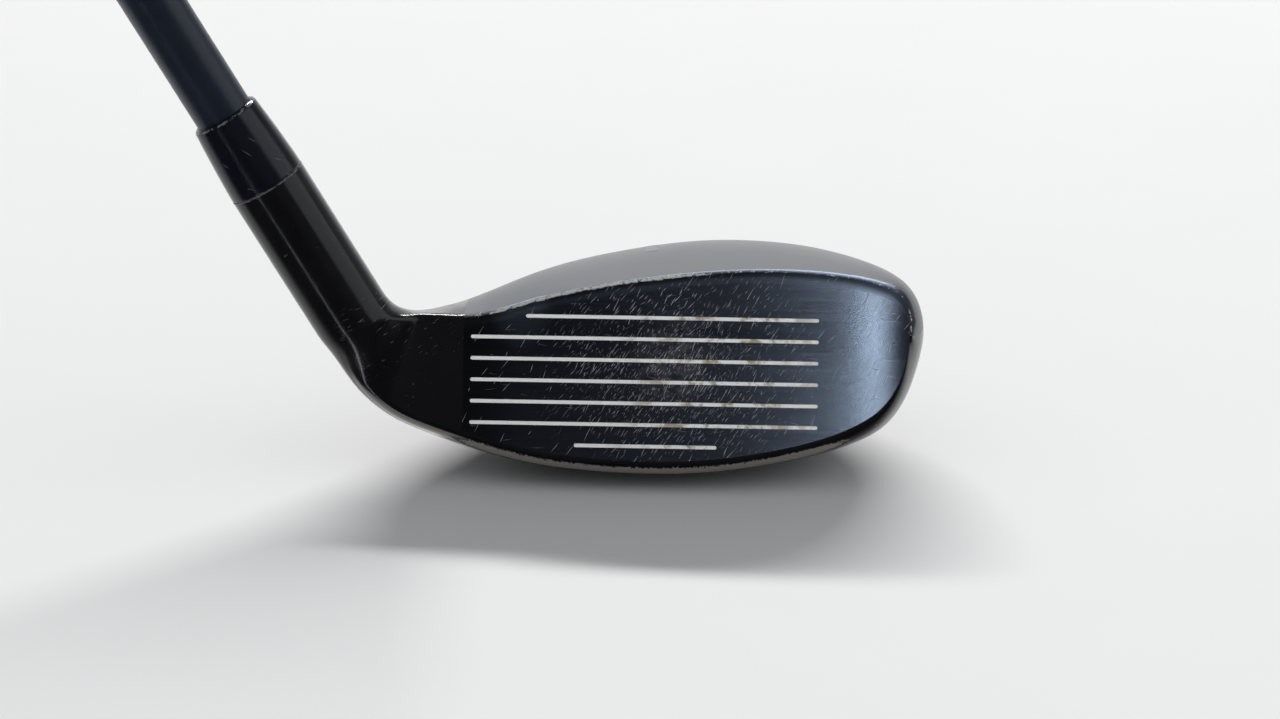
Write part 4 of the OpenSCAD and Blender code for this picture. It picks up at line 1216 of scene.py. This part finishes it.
# dark, the line colour and the rim colour are emission colours of painted reflections, seen only in glossy surfaces
floorFinish = {"pale": (0.80, 0.80, 0.80), "paler": (0.83, 0.83, 0.83), "roughness": 0.85, "dark": (0.02, 0.02, 0.022),
               "darkSpan": (-4.0, -26.0), "lineFrom": (-62.3, -53.6), "lineTo": (-98.8, -109.0), "lineWide": 0.9,
               "glowLineColour": (8.0, 8.4, 9.0), "glowRimColour": (2.7, 2.6, 2.5), "rimBack": (4.0, -6.0), "rimSides": (-68.0, -60.0, -32.0, -37.0),
               "rimFront": (-28.0, 11.0), "rimTurn": (-48.0, -60.0), "size": 12}


def makeFloor():
    # pale paper; to glossy rays the part of it towards the camera is a painted dark reflection, crossed by one thin
    # glowing line of painted reflection
    mesh = bpy.data.meshes.new("studioFloor")
    size = floorFinish["size"]
    mesh.from_pydata([(-size, -size, 0), (size, -size, 0), (size, size, 0), (-size, size, 0)], [], [(0, 1, 2, 3)])
    floor = bpy.data.objects.new("studioFloor", mesh)
    bpy.context.scene.collection.objects.link(floor)
    material, tree, shader, place = startMaterial("studioPaper", {
        "Base Color": (*floorFinish["pale"], 1), "Roughness": floorFinish["roughness"], "Specular IOR Level": 0.2})
    soft = useGroup(tree, patchGroup, Place=place, Size=60.0, Fill=0.5, Softness=1.0)
    joinNodes(mixColour(soft, floorFinish["pale"], floorFinish["paler"]), shader.inputs["Base Color"])
    parts = splitUp(place)
    darkReflectionMask = rampNode(parts["Y"], *floorFinish["darkSpan"])
    (x0, y0), (x1, y1) = floorFinish["lineFrom"], floorFinish["lineTo"]
    span = math.hypot(x1 - x0, y1 - y0)
    off = minus(times(minus(parts["X"], x0), (y1 - y0) / span), times(minus(parts["Y"], y0), (x1 - x0) / span))
    thin = rampNode(distance(off), floorFinish["lineWide"], floorFinish["lineWide"] * 0.4)
    # a pale glowing strip of painted reflection that only the rounded edge under the neck mirrors
    nearest, rise = floorFinish["rimFront"]
    front = plus(times(rampNode(parts["X"], *floorFinish["rimTurn"]), rise), nearest)
    rim = times(rampNode(minus(parts["Y"], front), -2.5, 2.5), rampNode(parts["Y"], *floorFinish["rimBack"]))
    rim = times(rim, spanMask(parts["X"], floorFinish["rimSides"]))
    darkReflectionMask = larger(darkReflectionMask, rim)
    # emission seen by glossy rays only: painted dark reflection, with a glowing line and strip of painted reflection,
    # not a lamp
    dark = addNode(tree, "ShaderNodeEmission", inputs={"Strength": 1.0})
    paintedGlowStreak = mixColour(thin, floorFinish["dark"], floorFinish["glowLineColour"])
    joinNodes(mixColour(rim, paintedGlowStreak, floorFinish["glowRimColour"]), dark.inputs["Color"])
    path = tree.nodes.new("ShaderNodeLightPath")
    mix = tree.nodes.new("ShaderNodeMixShader")
    joinNodes(times(path.outputs["Is Glossy Ray"], darkReflectionMask), mix.inputs[0])
    joinNodes(shader.outputs[0], mix.inputs[1])
    joinNodes(dark.outputs[0], mix.inputs[2])
    joinNodes(mix.outputs[0], tree.nodes["Material Output"].inputs["Surface"])
    mesh.materials.append(material)
    return floor


def aimAt(thing, place, target):
    thing.location = place
    thing.rotation_euler = (Vector(target) - Vector(place)).to_track_quat("-Z", "Y").to_euler()


lightRig = {
    # name: (place, target, width, height, watts, colour), metres from the head
    "backKey": ((0.3, 4.7, 3.55), (0, 0, 0.02), 5.0, 0.35, 410, (1.0, 0.995, 0.985)),
    "lowBackdrop": ((0.0, 3.4, 0.55), (0, 0, 0.1), 6.0, 1.0, 7, (0.97, 0.985, 1.0)),
    "toeStrip": ((0.67, -1.73, 0.76), (0.037, 0, 0.02), 0.11, 1.2, 6.0, (0.98, 0.985, 0.97)),
    "rightPanel": ((1.65, -0.3, 0.95), (0.0, 0, 0.04), 1.9, 1.3, 6, (0.95, 0.975, 1.0)),
}


def makeLights():
    for name, (place, target, width, height, watts, colour) in lightRig.items():
        data = bpy.data.lights.new(name, "AREA")
        data.shape = "RECTANGLE"
        data.size, data.size_y, data.energy, data.color = width, height, watts, colour
        lamp = bpy.data.objects.new(name, data)
        bpy.context.scene.collection.objects.link(lamp)
        aimAt(lamp, place, target)
        if name == "toeStrip":
            # this narrow lamp is for the gleam on the face alone
            lit = bpy.data.collections.new("litByToeStrip")
            lit.objects.link(facePiece)
            lit.objects.link(linePiece)
            lamp.light_linking.receiver_collection = lit


worldShape = {"fill": 0.32, "seen": 0.88, "front": 0.085, "back": 0.27, "above": 0.05, "cool": (0.95, 0.97, 1.0, 1),
              "behindSpan": (-0.15, 0.45), "lowSpan": (0.45, 0.1)}


def makeWorld():
    # pale to the camera, an even fill for matt surfaces, and for gloss dark towards the camera and pale low behind
    world = bpy.data.worlds.new("paleStudio")
    bpy.context.scene.world = world
    world.use_nodes = True
    tree = world.node_tree
    for node in list(tree.nodes):
        tree.nodes.remove(node)
    out = tree.nodes.new("ShaderNodeOutputWorld")
    lit = addNode(tree, "ShaderNodeBackground", inputs={"Color": worldShape["cool"], "Strength": worldShape["fill"]})
    seen = addNode(tree, "ShaderNodeBackground", inputs={"Color": (1.0, 1.0, 1.0, 1), "Strength": worldShape["seen"]})
    gloss = addNode(tree, "ShaderNodeBackground", inputs={"Color": worldShape["cool"]})
    direction = addNode(tree, "ShaderNodeTexCoord")
    parts = splitUp(direction.outputs["Generated"])
    behind = rampNode(parts["Y"], *worldShape["behindSpan"])
    low = rampNode(parts["Z"], *worldShape["lowSpan"])
    back = plus(times(low, worldShape["back"] - worldShape["above"]), worldShape["above"])
    strength = plus(times(back, behind), worldShape["front"])
    joinNodes(strength, gloss.inputs["Strength"])
    path = tree.nodes.new("ShaderNodeLightPath")
    first, second = tree.nodes.new("ShaderNodeMixShader"), tree.nodes.new("ShaderNodeMixShader")
    joinNodes(path.outputs["Is Glossy Ray"], first.inputs[0])
    joinNodes(lit.outputs[0], first.inputs[1])
    joinNodes(gloss.outputs[0], first.inputs[2])
    joinNodes(path.outputs["Is Camera Ray"], second.inputs[0])
    joinNodes(first.outputs[0], second.inputs[1])
    joinNodes(seen.outputs[0], second.inputs[2])
    joinNodes(second.outputs[0], out.inputs["Surface"])


viewShape = {"target": (-1.129, 1.93, 16.29), "distance": 600, "elevation": 20, "roll": 1, "focal": 3630 / 1280 * 36}


def makeCamera():
    lift, roll = rad(viewShape["elevation"]), rad(viewShape["roll"])
    backward = Vector((0, -math.cos(lift), math.sin(lift)))
    right, up = Vector((1, 0, 0)), Vector((0, math.sin(lift), math.cos(lift)))
    across = right * math.cos(roll) + up * math.sin(roll)
    above = up * math.cos(roll) - right * math.sin(roll)
    turn = Matrix((across, above, backward)).transposed().to_4x4()
    data = bpy.data.cameras.new("camera")
    data.lens, data.sensor_width = viewShape["focal"], 36
    data.clip_start, data.clip_end = 0.05, 100
    camera = bpy.data.objects.new("camera", data)
    bpy.context.scene.collection.objects.link(camera)
    camera.matrix_world = Matrix.Translation((Vector(viewShape["target"]) + backward * viewShape["distance"]) * mm) @ turn
    bpy.context.scene.camera = camera


floorPiece = makeFloor()
makeLights()
makeWorld()
makeCamera()
bpy.context.scene.view_settings.view_transform = "Standard"
bpy.context.scene.view_settings.exposure = 0.0
